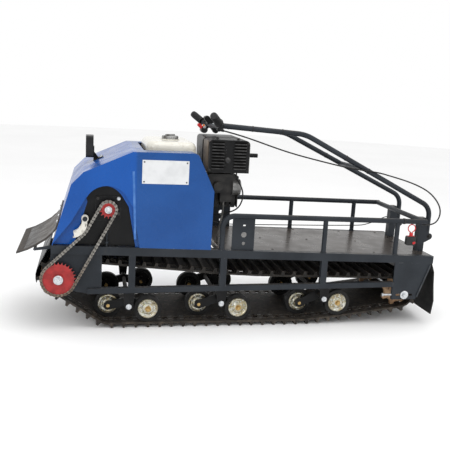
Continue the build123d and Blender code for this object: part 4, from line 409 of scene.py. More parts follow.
def film_plywood():
    """Film-faced plywood: a glossy brown-grey face with lengthwise streaks, and thin layers on its edges."""
    f = Finish("film_plywood", rough=0.3, level=0.3, coat=0.08, coat_rough=0.15)
    streak = f.noise(8, 6, 0.6, stretch=(1.2, 9, 9))
    tone = f.mix(f.band(streak, 0.3, 0.72), (0.034, 0.028, 0.024), (0.062, 0.052, 0.045))
    scuff = f.mix(f.band(f.noise(130, 4, stretch=(0.3, 1, 1)), 0.62, 0.78, 0, 0.2), tone, (0.15, 0.13, 0.12))
    side = f.band(f.axis("Z", of="Normal"), 0.4, 0.6, 1, 0)
    layers = [("Vector", f.place), ("Scale", 190), ("Distortion", 0.4)]
    wave = f.node("ShaderNodeTexWave", layers, bands_direction="Z")
    plies = f.band(wave.outputs["Color"], 0.35, 0.65)
    wood = f.mix(plies, (0.115, 0.072, 0.042), (0.26, 0.18, 0.11))
    gloss = f.drift((11, 5), (0.25, 0.75, 0.24, 0.38))
    return f.give(f.mix(side, scuff, wood), f.grain(90, 3, 0.00008), gloss)


BLACK_PLASTIC = ((0.006, 0.006, 0.0065), (0.017, 0.017, 0.0175))
RED_PLASTIC = ((0.46, 0.01, 0.014), (0.6, 0.028, 0.026))


def clip_moulding():
    """The kill-switch clip: black plastic with a red bulb above z = 0.457."""
    f = Finish("clip_moulding", rough=0.36, level=0.4)
    wear = f.drift((70, 4), (0.35, 0.7))
    bulb = f.band(f.axis("Z"), 0.4565, 0.4575)
    tone = f.mix(bulb, f.mix(wear, *BLACK_PLASTIC), f.mix(wear, *RED_PLASTIC))
    return f.give(tone, f.grain(400, 2, 0.0002))


# The louvres' lips and the guard's boss in a lighter grey, a painted highlight, and painted shade in the gaps
# between the louvres.
soot_highlight = plain("soot_highlight", (40, 5), (0.35, 0.68), ((0.014, 0.014, 0.0145), (0.052, 0.051, 0.05)),
                    (400, 3, 0.0002), rough=0.34, level=0.3)
painted_gap_shade = plain("painted_gap_shade", (60, 3), (0.35, 0.68), (0.0012, (0.0045, 0.0042, 0.004)),
                 (300, 3, 0.0002), rough=0.8, level=0.05)
# Painted highlights: a paler blue along the hood's fold, and a paler slate on the slide plates' folded edges.
painted_fold_highlight = plain("painted_fold_highlight", (22, 4), (0.35, 0.68), ((0.03, 0.125, 0.39), (0.072, 0.19, 0.48)),
                  (300, 2, 0.0001), rough=0.3, level=0.2, coat=0.3, coat_rough=0.15)
painted_edge_highlight = plain("painted_edge_highlight", (30, 4), (0.35, 0.68), ((0.052, 0.058, 0.065), (0.09, 0.096, 0.104)),
                     (300, 3, 0.0002), rough=0.4, level=0.25)
# Strong yellow passivate of the rollers' nuts.
yellow_zinc = plain("yellow_zinc", (120, 4), (0.35, 0.68), ((0.36, 0.22, 0.07), (0.6, 0.42, 0.18)),
                    (500, 3, 0.0002), rough=0.34, metal=0.8)
# The flap's brown border, soft black rubber, and the breather hose's chalky grey.
worn_hem = plain("worn_hem", (60, 5), (0.35, 0.68), ((0.016, 0.012, 0.009), (0.06, 0.046, 0.034)),
                 (220, 4, 0.0006), rough=0.6, level=0.3)
black_rubber = plain("black_rubber", (25, 4), (0.35, 0.7), ((0.0055, 0.0055, 0.006), (0.018, 0.0175, 0.017)),
                     (600, 3, 0.0004), rough=0.5, level=0.3)
grey_hose = plain("grey_hose", (40, 5), (0.35, 0.7), ((0.075, 0.073, 0.07), (0.165, 0.16, 0.15)),
                  (420, 3, 0.0003), rough=0.58, level=0.3)
# The shoe's cream nylon with grey rub marks, and the black, red and orange plastics of the controls.
white_nylon = plain("white_nylon", (50, 5), (0.48, 0.76), ((0.66, 0.64, 0.58), (0.36, 0.34, 0.3)),
                    (300, 3, 0.0003), rough=0.4)
black_moulding = plain("black_moulding", (30, 4), (0.35, 0.7), BLACK_PLASTIC, (1400, 2, 0.00025),
                       rough=0.38, level=0.35)
red_moulding = plain("red_moulding", (70, 4), (0.35, 0.7), RED_PLASTIC, (400, 2, 0.0002),
                     rough=0.36, level=0.4)
orange_moulding = plain("orange_moulding", (200, 3), (0.35, 0.7), ((0.62, 0.16, 0.02), (0.75, 0.24, 0.04)),
                        (400, 2, 0.0001), rough=0.34, level=0.4)
# The bare plate's enamel, and the lamp's pale lens over its reflector.
white_enamel = plain("white_enamel", (20, 4), (0.35, 0.75), ((0.66, 0.67, 0.68), (0.57, 0.58, 0.59)),
                     (160, 2, 0.0001), rough=0.3, coat=0.3)
lamp_glass = plain("lamp_glass", (60, 3), (0.3, 0.7), ((0.42, 0.44, 0.45), (0.62, 0.64, 0.66)),
                   (300, 2, 0.0002), rough=0.12, metal=0.35, coat=0.8, coat_rough=0.03)

# The finish of each of the record's slots.
SLOT_FINISHES = {
    "black_paint": slate_paint, "blue_paint": hood_paint, "red_paint": red_paint, "zinc": gold_zinc,
    "chain_steel": chain_steel, "cast_dark": dark_casting, "cast_aluminium": cast_aluminium,
    "cream_paint": tank_paint, "track_rubber": track_rubber, "tyre_rubber": tyre_rubber,
    "flap_rubber": flap_rubber, "black_rubber": black_rubber, "tan_plastic": tan_polymer,
    "white_plastic": white_nylon, "black_plastic": black_moulding, "red_plastic": red_moulding,
    "plywood": film_plywood, "plate_white": white_enamel,
}
# Nodes whose finish differs from the rest of their slot.
NODE_FINISHES = {
    "arm_pivot_tubes": dark_casting, "roller_bolts": yellow_zinc, "shafts_and_axle": bright_zinc,
    "tension_bolts": bright_zinc, "kill_switch_clip": clip_moulding, "fuel_cap": cast_aluminium,
}
for node in ("muffler_guard", "recoil_starter", "balance_arms", "arm_brackets", "lamp_bracket", "front_guard",
             "drive_panel", "lever_bracket"):
    NODE_FINISHES[node] = soot_paint
MADE = {}


def material(build):
    """The material of a finish, made once."""
    if build not in MADE:
        MADE[build] = build()
    return MADE[build]


def paint_the_frame():
    """Every CAD node takes its own finish, or else the finish of its slot."""
    for part in RECORD["subparts"]:
        build = NODE_FINISHES.get(part["node"], SLOT_FINISHES[part["material_slot"]])
        mesh = frame["nodes"][part["node"]].data
        mesh.materials.clear()
        mesh.materials.append(material(build))


# Shapes, in station millimetres


def unit(vectors):
    """Each vector divided by its own length."""
    vectors = np.asarray(vectors, float)
    return vectors / np.linalg.norm(vectors, axis=-1, keepdims=True)


def across(axis):
    """Two directions u and v across an axis, so that u x v is the axis."""
    helper = (0, 0, 1) if abs(axis[2]) < 0.9 else (1, 0, 0)
    u = unit(np.cross(helper, axis))
    return u, np.cross(axis, u)


def quads(rows, columns, closed=False):
    """The faces of a grid whose columns close on themselves, and whose rows do too where closed is true."""
    i, j = np.meshgrid(np.arange(rows - (not closed)), np.arange(columns), indexing="ij")
    k, m = (i + 1) % rows, (j + 1) % columns
    grid = np.stack([i * columns + j, i * columns + m, k * columns + m, k * columns + j], -1)
    return grid.reshape(-1, 4).tolist()


def capped(points):
    """Rings of points with a face over the first ring and over the last."""
    rows, columns = points.shape[:2]
    ring = np.arange(columns)
    ends = [ring[::-1].tolist(), (ring + (rows - 1) * columns).tolist()]
    return points.reshape(-1, 3), quads(rows, columns) + ends


def turned(profile, place, axis=(0, -1, 0), steps=24, phase=0.0, closed=False):
    """place + axis h + r (u cos t + v sin t) for each (r, h) of the profile and each turn t."""
    r, h = np.array(profile, float).T
    axis = unit(axis)
    u, v = across(axis)
    t = phase + turns(steps)
    spoke = np.cos(t)[:, None] * u + np.sin(t)[:, None] * v
    points = np.array(place, float) + h[:, None, None] * axis + r[:, None, None] * spoke
    return (points.reshape(-1, 3), quads(len(r), steps, True)) if closed else capped(points)


def swept(path, section, up, closed=False):
    """p + a side + b top for each (a, b) of the section: side = up x heading, top = heading x side."""
    path = np.array(path, float)
    heading = unit(np.roll(path, -1, 0) - np.roll(path, 1, 0) if closed else np.gradient(path, axis=0))
    side = unit(np.cross(up, heading))
    top = np.cross(heading, side)
    a, b = np.array(section, float).T
    points = path[:, None] + a[:, None] * side[:, None] + b[:, None] * top[:, None]
    return (points.reshape(-1, 3), quads(len(path), len(a), True)) if closed else capped(points)


def pressed(outline, place, x_way, y_way, thickness, edge=0.6):
    """A plate: the outline carried along x_way x y_way by the thickness, its rims drawn in by the edge."""
    flat = np.array(outline, float)
    inset = flat - edge * unit(flat - flat.mean(0))
    rings = [(inset, 0.0), (flat, edge), (flat, thickness - edge), (inset, thickness)]
    x_way, y_way = np.array(x_way, float), np.array(y_way, float)
    rise = np.cross(x_way, y_way)
    points = [np.array(place) + p[:, :1] * x_way + p[:, 1:] * y_way + h * rise for p, h in rings]
    return capped(np.stack(points))


def round_section(radius, steps=10):
    """A circle's points, counterclockwise."""
    t = turns(steps)
    return np.stack([radius * np.cos(t), radius * np.sin(t)], -1)


def box_section(width, height):
    """A rectangle's corners, counterclockwise."""
    return np.array([(-1, -1), (1, -1), (1, 1), (-1, 1)]) * (width / 2, height / 2)


def rounded(width, height, radius, steps=4):
    """A rectangle with round corners: quarter circles about its four corner centres."""
    t = np.linspace(0, np.pi / 2, steps)[None] + np.arange(4)[:, None] * np.pi / 2
    centre = np.array([(1, 1), (-1, 1), (-1, -1), (1, -1)]) * (width / 2 - radius, height / 2 - radius)
    arc = centre[:, None] + radius * np.stack([np.cos(t), np.sin(t)], -1)
    return arc.reshape(-1, 2)


def washer(place, axis, outer, inner, thickness):
    """A flat ring with softened rims."""
    e = thickness / 4
    profile = [(inner, 0), (outer - e, 0), (outer, e), (outer, thickness - e), (outer - e, thickness)]
    profile.append((inner, thickness))
    return turned(profile, place, axis, 28, closed=True)


def hex_head(place, axis, radius, height, phase=0.0):
    """A hexagonal head with chamfered corners."""
    profile = [(radius, 0), (radius, height * 0.78), (radius * 0.87, height)]
    return turned(profile, place, axis, 6, phase)


def bolt(place, axis, radius, height, wide=1.55, phase=0.3):
    """A washer and a hexagonal head on it."""
    place, axis = np.array(place, float), unit(axis)
    thin, rim = height * 0.22, radius * wide
    ring = turned([(rim, 0), (rim, thin * 0.7), (rim - thin * 0.3, thin)], place, axis, 24)
    return [ring, hex_head(place + axis * thin, axis, radius, height - thin, phase)]


def rivet(place, axis, radius, height):
    """A domed head: r = R cos s and h = H sin s for s from 0 to near a right angle."""
    s = np.linspace(0, 1.45, 6)
    return turned(np.stack([radius * np.cos(s), height * np.sin(s)], -1), place, axis, 16)


def weld(place, axis, radius, thickness=2.6, ripples=18):
    """A rippled ring of weld: a torus whose section swells and shrinks `ripples` times round it."""
    steps = ripples * 4
    t, s = turns(steps), turns(8)
    u, v = across(unit(axis))
    spoke = np.cos(t)[:, None] * u + np.sin(t)[:, None] * v
    swell = thickness * (1 + 0.16 * np.cos(ripples * t))
    out = radius + swell[:, None] * np.cos(s)
    rise = swell[:, None] * np.sin(s)
    points = np.array(place, float) + out[..., None] * spoke[:, None] + rise[..., None] * unit(axis)
    flat = points.reshape(-1, 3)
    return flat, [face[::-1] for face in quads(steps, 8, True)]


def strap_round(place, axis, radius, width, thickness=1.2, tail=0.0):
    """A tie round a tube: a closed ring of box section, with its square lock and its tail."""
    t = turns(28)
    u, v = across(unit(axis))
    path = np.array(place) + (radius + thickness / 2) * (np.cos(t)[:, None] * u + np.sin(t)[:, None] * v)
    shapes = [swept(path, box_section(thickness, width), unit(axis), closed=True)]
    lock, along = np.array(place, float) + u * (radius + thickness), np.array(axis, float)
    shapes.append(pressed(rounded(width * 1.35, width * 1.2, 0.8), lock, v, along, width * 0.8))
    if tail:
        shapes.append(pressed(rounded(tail, width * 0.7, 0.6), lock + v * tail / 2, v, along, 1.0, 0.3))
    return shapes


def put(name, shapes, slot, build=None, body="chassis", sharp=35):
    """Joins shapes into one mesh piece in metres. It rides on a body, in the slot's finish or its own."""
    starts = np.cumsum([0] + [len(points) for points, _ in shapes])
    points = np.concatenate([points for points, _ in shapes]) * MM + STATION_SHIFT
    faces = [[k + int(start) for k in face] for (_, some), start in zip(shapes, starts) for face in some]
    mesh = bpy.data.meshes.new(name)
    mesh.from_pydata(points.tolist(), [], faces)
    mesh.shade_smooth()
    mesh.set_sharp_from_angle(angle=np.radians(sharp))
    mesh.materials.append(material(build or SLOT_FINISHES[slot]))
    piece = add(name, mesh)
    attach(piece, body)
    return piece


def both(points):
    """A list of places on the left with their mirror places on the right."""
    return [(x, side * y, z) for x, y, z in points for side in (-1, 1)]


def on_line(x, a, b):
    """The height at x of the line through two (x, z) points."""
    return a[1] + (b[1] - a[1]) * (x - a[0]) / (b[0] - a[0])


# Belts round wheels


def belt_runs(guides):
    """A belt's arcs round its guides (x, z, radius, negative where it bends back) and the lines between."""
    headings = []
    for a, b in zip(guides, guides[1:] + guides[:1]):
        reach = np.hypot(b[0] - a[0], b[1] - a[1])
        headings.append(np.arctan2(b[1] - a[1], b[0] - a[0]) - np.arcsin((b[2] - a[2]) / reach))
    runs = []
    for i, (x, z, r) in enumerate(guides):
        turn = (headings[i] - headings[i - 1]) % (2 * np.pi)
        turn -= 2 * np.pi * (r < 0 or turn > np.radians(340))
        runs.append({"x": x, "z": z, "r": r, "from": headings[i - 1], "turn": turn, "length": abs(r * turn)})
        nx, nz, nr = guides[(i + 1) % len(guides)]
        h = headings[i]
        start = np.array([x + r * np.sin(h), z - r * np.cos(h)])
        end = np.array([nx + nr * np.sin(h), nz - nr * np.cos(h)])
        runs.append({"start": start, "from": h, "turn": 0, "length": np.hypot(*(end - start))})
    return runs


def on_belt(runs, distance, offset):
    """x, z and heading at each distance along a belt, moved outward by the offset."""
    left = np.mod(np.array(distance, float), sum(run["length"] for run in runs))
    x, z, h = np.zeros_like(left), np.zeros_like(left), np.zeros_like(left)
    start = 0
    for run in runs:
        here = (left >= start) & (left < start + run["length"])
        part = left[here] - start
        h[here] = run["from"] + run["turn"] * part / run["length"]
        if "start" in run:
            x[here] = run["start"][0] + part * np.cos(run["from"])
            z[here] = run["start"][1] + part * np.sin(run["from"])
        else:
            x[here] = run["x"] + run["r"] * np.sin(h[here])
            z[here] = run["z"] - run["r"] * np.cos(h[here])
        start += run["length"]
    return x + offset * np.sin(h), z - offset * np.cos(h), h


def track_course():
    """The track's runs, as the frame drawing has them."""
    wheel = ROLLER_R + BELT_GAP
    star = STAR_TEETH * TRACK_PITCH / (2 * np.pi)
    sag = {"x": 842, "z": 247, "r": 2500}
    rear = (1541, 159)
    (_, _, first_x, *_), (_, _, front_x, last_x, lift) = ARMS[0], ARMS[-1]
    guides = [(first_x, ROLLER_Z, wheel), (front_x, ROLLER_Z, wheel), (last_x, ROLLER_Z + lift, wheel)]
    guides += [(*rear, star), (sag["x"], sag["z"] + sag["r"], -sag["r"]), (DRIVE_X, DRIVE_Z, star)]
    return belt_runs(guides)


def chain_course():
    """The chain's runs round both sprockets and over the shoe."""
    big = (DRIVE_X, DRIVE_Z, CHAIN_PITCH / (2 * np.sin(np.pi / BIG_TEETH)))
    small = (SMALL_X, SMALL_Z, CHAIN_PITCH / (2 * np.sin(np.pi / SMALL_TEETH)))
    h = belt_runs([big, small])[3]["from"]
    way = np.array([np.cos(h), np.sin(h)])
    start = np.array([small[0] + small[2] * np.sin(h), small[1] - small[2] * np.cos(h)])
    reach = (np.array([SHOE["x"], SHOE["z"]]) - small[:2]) @ way
    touch = start + reach * way
    shoe_r = SHOE["r"] + CHAIN_PLATE_HALF
    out = shoe_r - SHOE["press"]
    return belt_runs([big, small, (touch[0] + out * way[1], touch[1] - out * way[0], -shoe_r)])


# Small parts

LEFT = np.array([0, -1, 0])
UP = np.array([0, 0, 1])


def side_of(y):
    """The way that looks outward on the side where y lies."""
    return LEFT * -np.sign(y)


def roller_faces():
    """Each roller's outer face: x, y, z."""
    places = []
    for _, _, front_x, rear_x, lift in ARMS:
        places += [(front_x, INNER_ROLLER_FACE, ROLLER_Z), (rear_x, OUTER_ROLLER_FACE, ROLLER_Z + lift)]
    return both(places)


def dress_rollers():
    """Pressed faces of the roller discs: a bead, a hollow, rivets, and a yellow nut on the outer ones."""
    faces, studs, nuts = [], [], []
    bead = [(46, 0), (46, 2.2), (43.5, 4.6), (39.5, 5.0), (36.8, 2.4), (33, 1.1), (27.5, 1.1), (24.5, 4.2),
            (20, 6.2), (13, 6.8)]
    ring_r, turn = 31, 2 * np.pi * (np.arange(8) + 0.5) / 8
    for x, y, z in roller_faces():
        out = side_of(y)
        faces.append(turned(bead, (x, y, z), out, 48))
        for t in turn:
            studs.append(rivet((x + ring_r * np.cos(t), y + out[1], z + ring_r * np.sin(t)), out, 3.6, 3.4))
        if abs(y) == OUTER_ROLLER_FACE:
            nuts += bolt((x, y + out[1] * 6.6, z), out, 10.5, 10, 1.35, phase=x)
    put("roller_faces", faces, "zinc")
    put("roller_rivets", studs, "zinc", bright_zinc)
    put("roller_nuts", nuts, "zinc", yellow_zinc)


def along_belt(runs, pitch, offset, first=0.0):
    """x, z and heading at each whole pitch of a closed belt, from the share `first` of a pitch."""
    total = sum(run["length"] for run in runs)
    count = round(total / pitch)
    return on_belt(runs, (np.arange(count) + first) * total / count, offset)


def dress_track():
    """Guide blocks in pairs beside the windows on the belt's inner face, and moulded steps on the lugs."""
    runs = track_course()
    block, step, step_drop = rounded(22, GUIDE_WIDTH, 1.5, 3), rounded(11, 58, 2, 3), 7.0
    blocks, steps = [], []
    for x, z, h in zip(*along_belt(runs, TRACK_PITCH, -0.2)):
        along = np.array([np.cos(h), 0, np.sin(h)])
        blocks += [pressed(block, (x, y, z), along, (0, -1, 0), 9.0, 1.6) for y in GUIDE_YS]
    for x, z, h in zip(*along_belt(runs, TRACK_PITCH, BAND + LUG_HEIGHT - 0.4)):
        along = np.array([np.cos(h), 0, np.sin(h)])
        foot_x, foot_z = x - step_drop * np.sin(h), z + step_drop * np.cos(h)
        for y in (-205, -92, 92, 205):
            steps.append(pressed(step, (foot_x, y, foot_z), along, (0, 1, 0), 7.2, 1.6))
    put("track_guides", blocks, "chain_steel", guide_steel)
    put("lug_steps", steps, "track_rubber")


def dress_chain():
    """Riveted pin heads on the outer face of the chain's plates."""
    x, z, _ = along_belt(chain_course(), CHAIN_PITCH, 0, 0.5)
    heads = [rivet((px, CHAIN_FACE_Y, pz), LEFT, 2.9, 1.1) for px, pz in zip(x, z)]
    put("chain_pin_heads", heads, "chain_steel", dark_casting)


def dress_sprockets():
    """A washer and a bolt head on both shaft ends."""
    shapes, washer_height = [], 2.4
    ends = [(DRIVE_X, DRIVE_Z, 1.6, 21, 12.2, 15.5, 5.4, 0.4), (SMALL_X, SMALL_Z, 0, 16, 9.6, 12.5, 6.4, 0.1)]
    for x, z, gap, outer, inner, head_r, height, phase in ends:
        face = SPROCKET_FACE_Y - gap
        shapes.append(washer((x, face, z), LEFT, outer, inner, washer_height))
        shapes.append(hex_head((x, face - washer_height, z), LEFT, head_r, height, phase))
    put("sprocket_bolts", shapes, "zinc", bright_zinc)


def dress_shoe():
    """The tensioner shoe's pivot bolt."""
    put("shoe_bolt", bolt((-14, -312, 527), LEFT, 8, 6, 1.35), "zinc", dark_casting)


def dress_frame():
    """Bolts at pivots and hinges, painted highlights on plate edges, a tie, the clip's tab, and welds at the
    tubes' feet.
    """
    heads, hinges, lips, beads = [], [], [], []
    for pivot_x, pivot_z, *_ in ARMS:
        for y in (-280, 280):
            heads += bolt((pivot_x, y, pivot_z), side_of(y), 12.8, 7.5, 1.02, phase=pivot_x)
    put("pivot_bolts", heads, "zinc", bright_zinc)
    for x, y, z in both([(1700, 183.5, 434)]):
        hinges += bolt((x, y, z), side_of(y), 8.5, 7, 1.35)
    put("hinge_bolts", hinges, "zinc", dark_casting)
    for y in (-SIDE_Y - 1, SIDE_Y + 1):
        edge = [(1608, y, 150), (1628, y, 207.7), (1646, y, 259.5), (1664, y, 311.3)]
        lips.append(swept(edge, box_section(2.6, 13), (0, 1, 0)))
    # Painted highlight: the slide plates' folded edges in a paler slate.
    put("slide_lips", lips, "black_paint", painted_edge_highlight)
    put("hoop_tie", strap_round((1504, -HOOP_Y, 530.0), (1, 0, -0.018), 12.9, 9, 1.6, 8), "black_plastic")
    tab = pressed(rounded(15, 11, 3), (1563, -285.4, 424), (0.9, 0, 0.436), (-0.436, 0, 0.9), 2.4, 0.8)
    put("clip_tab", [tab], "red_plastic", red_moulding)
    for x, radius in ((605.5, 12.5), (1103, 11.5), (1473, 11.5)):
        z = on_line(x, RAIL_FRONT, RAIL_REAR) + 1.0
        beads += [weld((x, y, z), UP, radius + 0.6) for y in (-HOOP_Y, HOOP_Y)]
    for x, z in ((1103, 537.5), (1473, 530.5)):
        beads += [weld((x, y, z - HOOP_BEAD_DROP), UP, 11.8, 2.2) for y in (-HOOP_Y, HOOP_Y)]
    put("weld_beads", beads, "black_paint")


def dress_hood():
    """The fold on both sides, a painted highlight; the plate's rivets; the upper bearing's bolts, three in
    painted shade.
    """
    folds, bolts = [], []
    foot, top = 432, 737
    for side in (-1, 1):
        z = np.linspace(foot, top, 24)
        x = 206 - 14 * (z - foot) / (top - foot)
        path = np.stack([x, np.full_like(z, side * (SIDE_Y + 0.1)), z], -1)
        folds.append(swept(path, box_section(10.0, 1.2), (0, 1, 0)))
    # Painted highlight: the fold's strip is a paler blue than the hood.
    put("hood_folds", folds, "blue_paint", painted_fold_highlight)
    rivets = [rivet((x, -289.5, z), LEFT, 3.6, 1.8) for x in (238, 427) for z in (693, 780)]
    put("plate_rivets", rivets, "zinc", dark_casting)
    for dx, dz in ((-45, -22.5), (45, -22.5), (-45, 45), (45, 45)):
        bolts += bolt((SMALL_X + dx, -276.2, SMALL_Z + dz), LEFT, 6.2, 6, 1.3, phase=dx)
    # Painted shade: three of the four zinc bolts take the dark casting's finish; the fourth stays bright.
    put("shaded_bearing_bolts", bolts[:6], "zinc", dark_casting)
    put("bearing_bolt_bright", bolts[6:], "zinc", bright_zinc)


def dress_lamp():
    """The lens x = front - dome cos(y') cos(z') - rib cos(2 pi y / rib pitch), its screws and foot bolts."""
    front_x, back_x, dome, rib, rib_pitch = -12.2, -11.2, 4.2, 0.35, 8.6
    across_y, up_z = np.linspace(-1, 1, 61), np.linspace(-1, 1, 41)
    y, z = np.meshgrid(across_y * LENS_HALF_Y, LENS_MIDDLE_Z + up_z * LENS_HALF_Z, indexing="ij")
    domed = np.cos(across_y * np.pi / 2.2)[:, None] * np.cos(up_z * np.pi / 2.2)
    x = front_x - dome * domed - rib * np.cos(y * 2 * np.pi / rib_pitch)
    n, m = x.shape
    i, j = np.meshgrid(np.arange(n - 1), np.arange(m - 1), indexing="ij")
    face = np.stack([i * m + j, i * m + j + 1, (i + 1) * m + j + 1, (i + 1) * m + j], -1).reshape(-1, 4)
    far = np.concatenate([np.arange(m), np.arange(1, n) * m + m - 1])
    rim = np.concatenate([far, n * m - 2 - np.arange(m - 1), np.arange(n - 2, 0, -1) * m])
    after = np.roll(rim, -1)
    wall = np.stack([rim, rim + n * m, after + n * m, after], -1)
    sides = (x, np.full_like(x, back_x))
    points = np.concatenate([np.stack([side, y, z], -1).reshape(-1, 3) for side in sides])
    put("lamp_lens", [(points, face.tolist() + (face[:, ::-1] + n * m).tolist() + wall.tolist())],
        "white_plastic", lamp_glass)
    screws = [rivet((-15.0, y, z), (-1, 0, 0), 2.4, 1.2) for y in (-46, 46) for z in (769, 861)]
    put("lamp_screws", screws, "zinc", bright_zinc)
    feet = [shape for y in (-14, 14) for shape in bolt((55.3, y, 767), (-0.41, 0, 0.91), 5, 5)]
    put("lamp_foot_bolts", feet, "zinc", bright_zinc)


def dress_tank():
    """The cap's ribbed skirt r = R + a cos(24 t), its grip bar, and the filler's ring."""
    t = turns(144)
    r = 38.6 + 1.1 * np.cos(24 * t)
    rows = []
    for scale, z in ((0.965, 861.0), (1.0, 862.5), (1.0, 874.0), (0.955, 877.5), (0.8, 878.6)):
        x, y = TANK_CAP_X + scale * r * np.cos(t), scale * r * np.sin(t)
        rows.append(np.stack([x, y, np.full_like(t, z)], -1))
    bar = pressed(rounded(58, 13, 5), (TANK_CAP_X, 0, 878), (0.8, 0.6, 0), (-0.6, 0.8, 0), 7, 2.0)
    put("cap_skirt", [capped(np.stack(rows)), bar], "cast_aluminium")
    ring = [(41, 0), (46, 0), (47, 1.5), (46, 3.4), (41, 3.6)]
    put("filler_ring", [turned(ring, (TANK_CAP_X, 0, 859.4), UP, 48, closed=True)], "cream_paint")


def dress_guard():
    """The muffler guard's front plate, boss, bolts, louvres: painted highlight on boss and lips, painted
    shade in gaps.
    """
    plate = pressed(rounded(128, 146, 12), (541.2, -100, 801), (0, -1, 0), (0, 0, 1), 1.6, 0.5)
    put("guard_front_plate", [plate], "cast_dark", scorched_steel)
    # The boss's lighter grey is a painted highlight.
    boss = turned([(15, 0), (14, 3), (10.5, 6), (5, 8), (2, 8.6)], (633, GUARD_FACE_Y - 0.4, 785), LEFT, 28)
    put("guard_boss", [boss], "cast_dark", soot_highlight)
    bolts = bolt((590, -120, 880), UP, 6.5, 9, 1.5) + bolt((690, -120, 880), UP, 6.5, 6, 1.5)
    for x, z in ((549, 738), (729, 738), (729, 866)):
        bolts += bolt((x, GUARD_FACE_Y, z), LEFT, 4, 3.4, 1.4, phase=z)
    put("guard_bolts", bolts, "zinc", dark_casting)
    rails, gaps = [], []
    for x in (543.5, 735.5):
        edge = [(x, GUARD_FACE_Y - 0.6, z) for z in (736, 800, 862)]
        rails.append(swept(edge, box_section(4, 1.6), (0, 1, 0)))
    half = LOUVRE_LENGTH / 2
    for i in range(9):
        z = 745.5 + i * LOUVRE_PITCH
        for x in (557 + half, 663.5 + half):
            path = [(x + step * half, GUARD_FACE_Y - 2.2 + abs(step), z) for step in (-1, 0, 1)]
            rails.append(swept(path, round_section(3.0, 8), (0, 1, 0)))
            gaps.append(pressed(rounded(LOUVRE_LENGTH, 6.5, 3), (x, GUARD_FACE_Y - 0.2, z + 7.2), (1, 0, 0),
                                (0, 0, 1), 0.7, 0.2))
    # Painted highlight: the louvres' lips in a lighter grey than the guard.
    put("guard_louvres", rails, "black_paint", soot_highlight)
    # Painted shade: near-black sheets over the gaps between the louvres.
    put("guard_slots", gaps, "black_paint", painted_gap_shade)


def dress_engine():
    """The round ribbed cover beside the head, and the recoil starter's ribs, hub and pull."""
    rim, groove, ribs = 39, 33, []
    for h in range(0, 35, 5):
        ribs += [(rim, h), (rim, h + 2.2), (groove, h + 2.6), (groove, h + 4.8)]
    ribs += [(rim, 35), (rim, 38), (36, 40), (12, 41)]
    put("head_cover", [turned(ribs, (672, -112, 652), (1, 0, 0), 48)], "cast_aluminium")
    spokes, centre = [], np.array(STARTER_CENTRE)
    for t in turns(14):
        way = np.array([np.cos(t), 0, np.sin(t)])
        cross = np.array([-np.sin(t), 0, np.cos(t)])
        spokes.append(pressed(rounded(46, 7, 3), centre + 66 * way, -way, cross, 2.4, 0.8))
    spokes.append(turned([(36, 0), (36, 3), (31, 7), (10, 8)], centre, (0, 1, 0), 40))
    put("starter_ribs", spokes, "black_paint", soot_paint)
    pull = swept([(455, 176, 600), (470, 190, 606), (485, 176, 600)], round_section(5), (0, 0, 1))
    put("starter_grip", [pull], "black_plastic")


def dress_deck():
    """Domed screws along the deck's edges and over its cross members."""
    screws = []
    for x in (660, 860, 1111, 1380, 1600):
        z = on_line(x, RAIL_FRONT, RAIL_REAR)
        screws += [rivet((x, y, z), UP, 6.5, 2.2) for y in (-238, 0, 238)]
    put("deck_screws", screws, "zinc", dark_casting)


def dress_flaps():
    """The front flap's worn hem and its bolts, and the mud flap's bolts."""
    level = np.zeros_like(FLAP_X)
    slope = unit(np.stack([np.gradient(FLAP_X), level, np.gradient(FLAP_Z)], -1))
    up = np.cross(slope, (0, 1, 0))
    up *= np.sign(up[:, 2:3])
    spine = np.stack([FLAP_X, level, FLAP_Z], -1) + 6.4 * up
    hems = [swept(spine + (0, y, 0), box_section(14, 1.4), UP) for y in (-233, 233)]
    tip = spine[0] + 14 * slope[0]
    hems.append(swept([tip + (0, y, 0) for y in (-239, -120, 0, 120, 239)], box_section(30, 1.4), up[0]))
    put("flap_hem", hems, "flap_rubber", worn_hem)
    for name, x, z, out, places in (("flap_bolts", -134.4, 492, (-0.957, 0, 0.288), (-200, -70, 70, 200)),
                                    ("mud_flap_bolts", 1683.0, 330, (1, 0, 0), (-230, -90, 90, 230))):
        put(name, [shape for y in places for shape in bolt((x, y, z), out, 6, 5, 1.7)], "zinc", bright_zinc)


def handle_axis(x, side):
    """A point of a handle tube's axis at x, and the tube's direction there."""
    drop = HANDLE_TWIST / 2 * (1 + side * HANDLE_Y / BAR_BEND_Y)
    a, b = (CREST[0], CREST[1] - drop), KNEE
    if x < CREST[0]:
        a, b = (HANDLE_FRONT[0], HANDLE_FRONT[1] - drop), a
    return np.array([x, side * HANDLE_Y, on_line(x, a, b)]), unit((b[0] - a[0], 0, b[1] - a[1]))


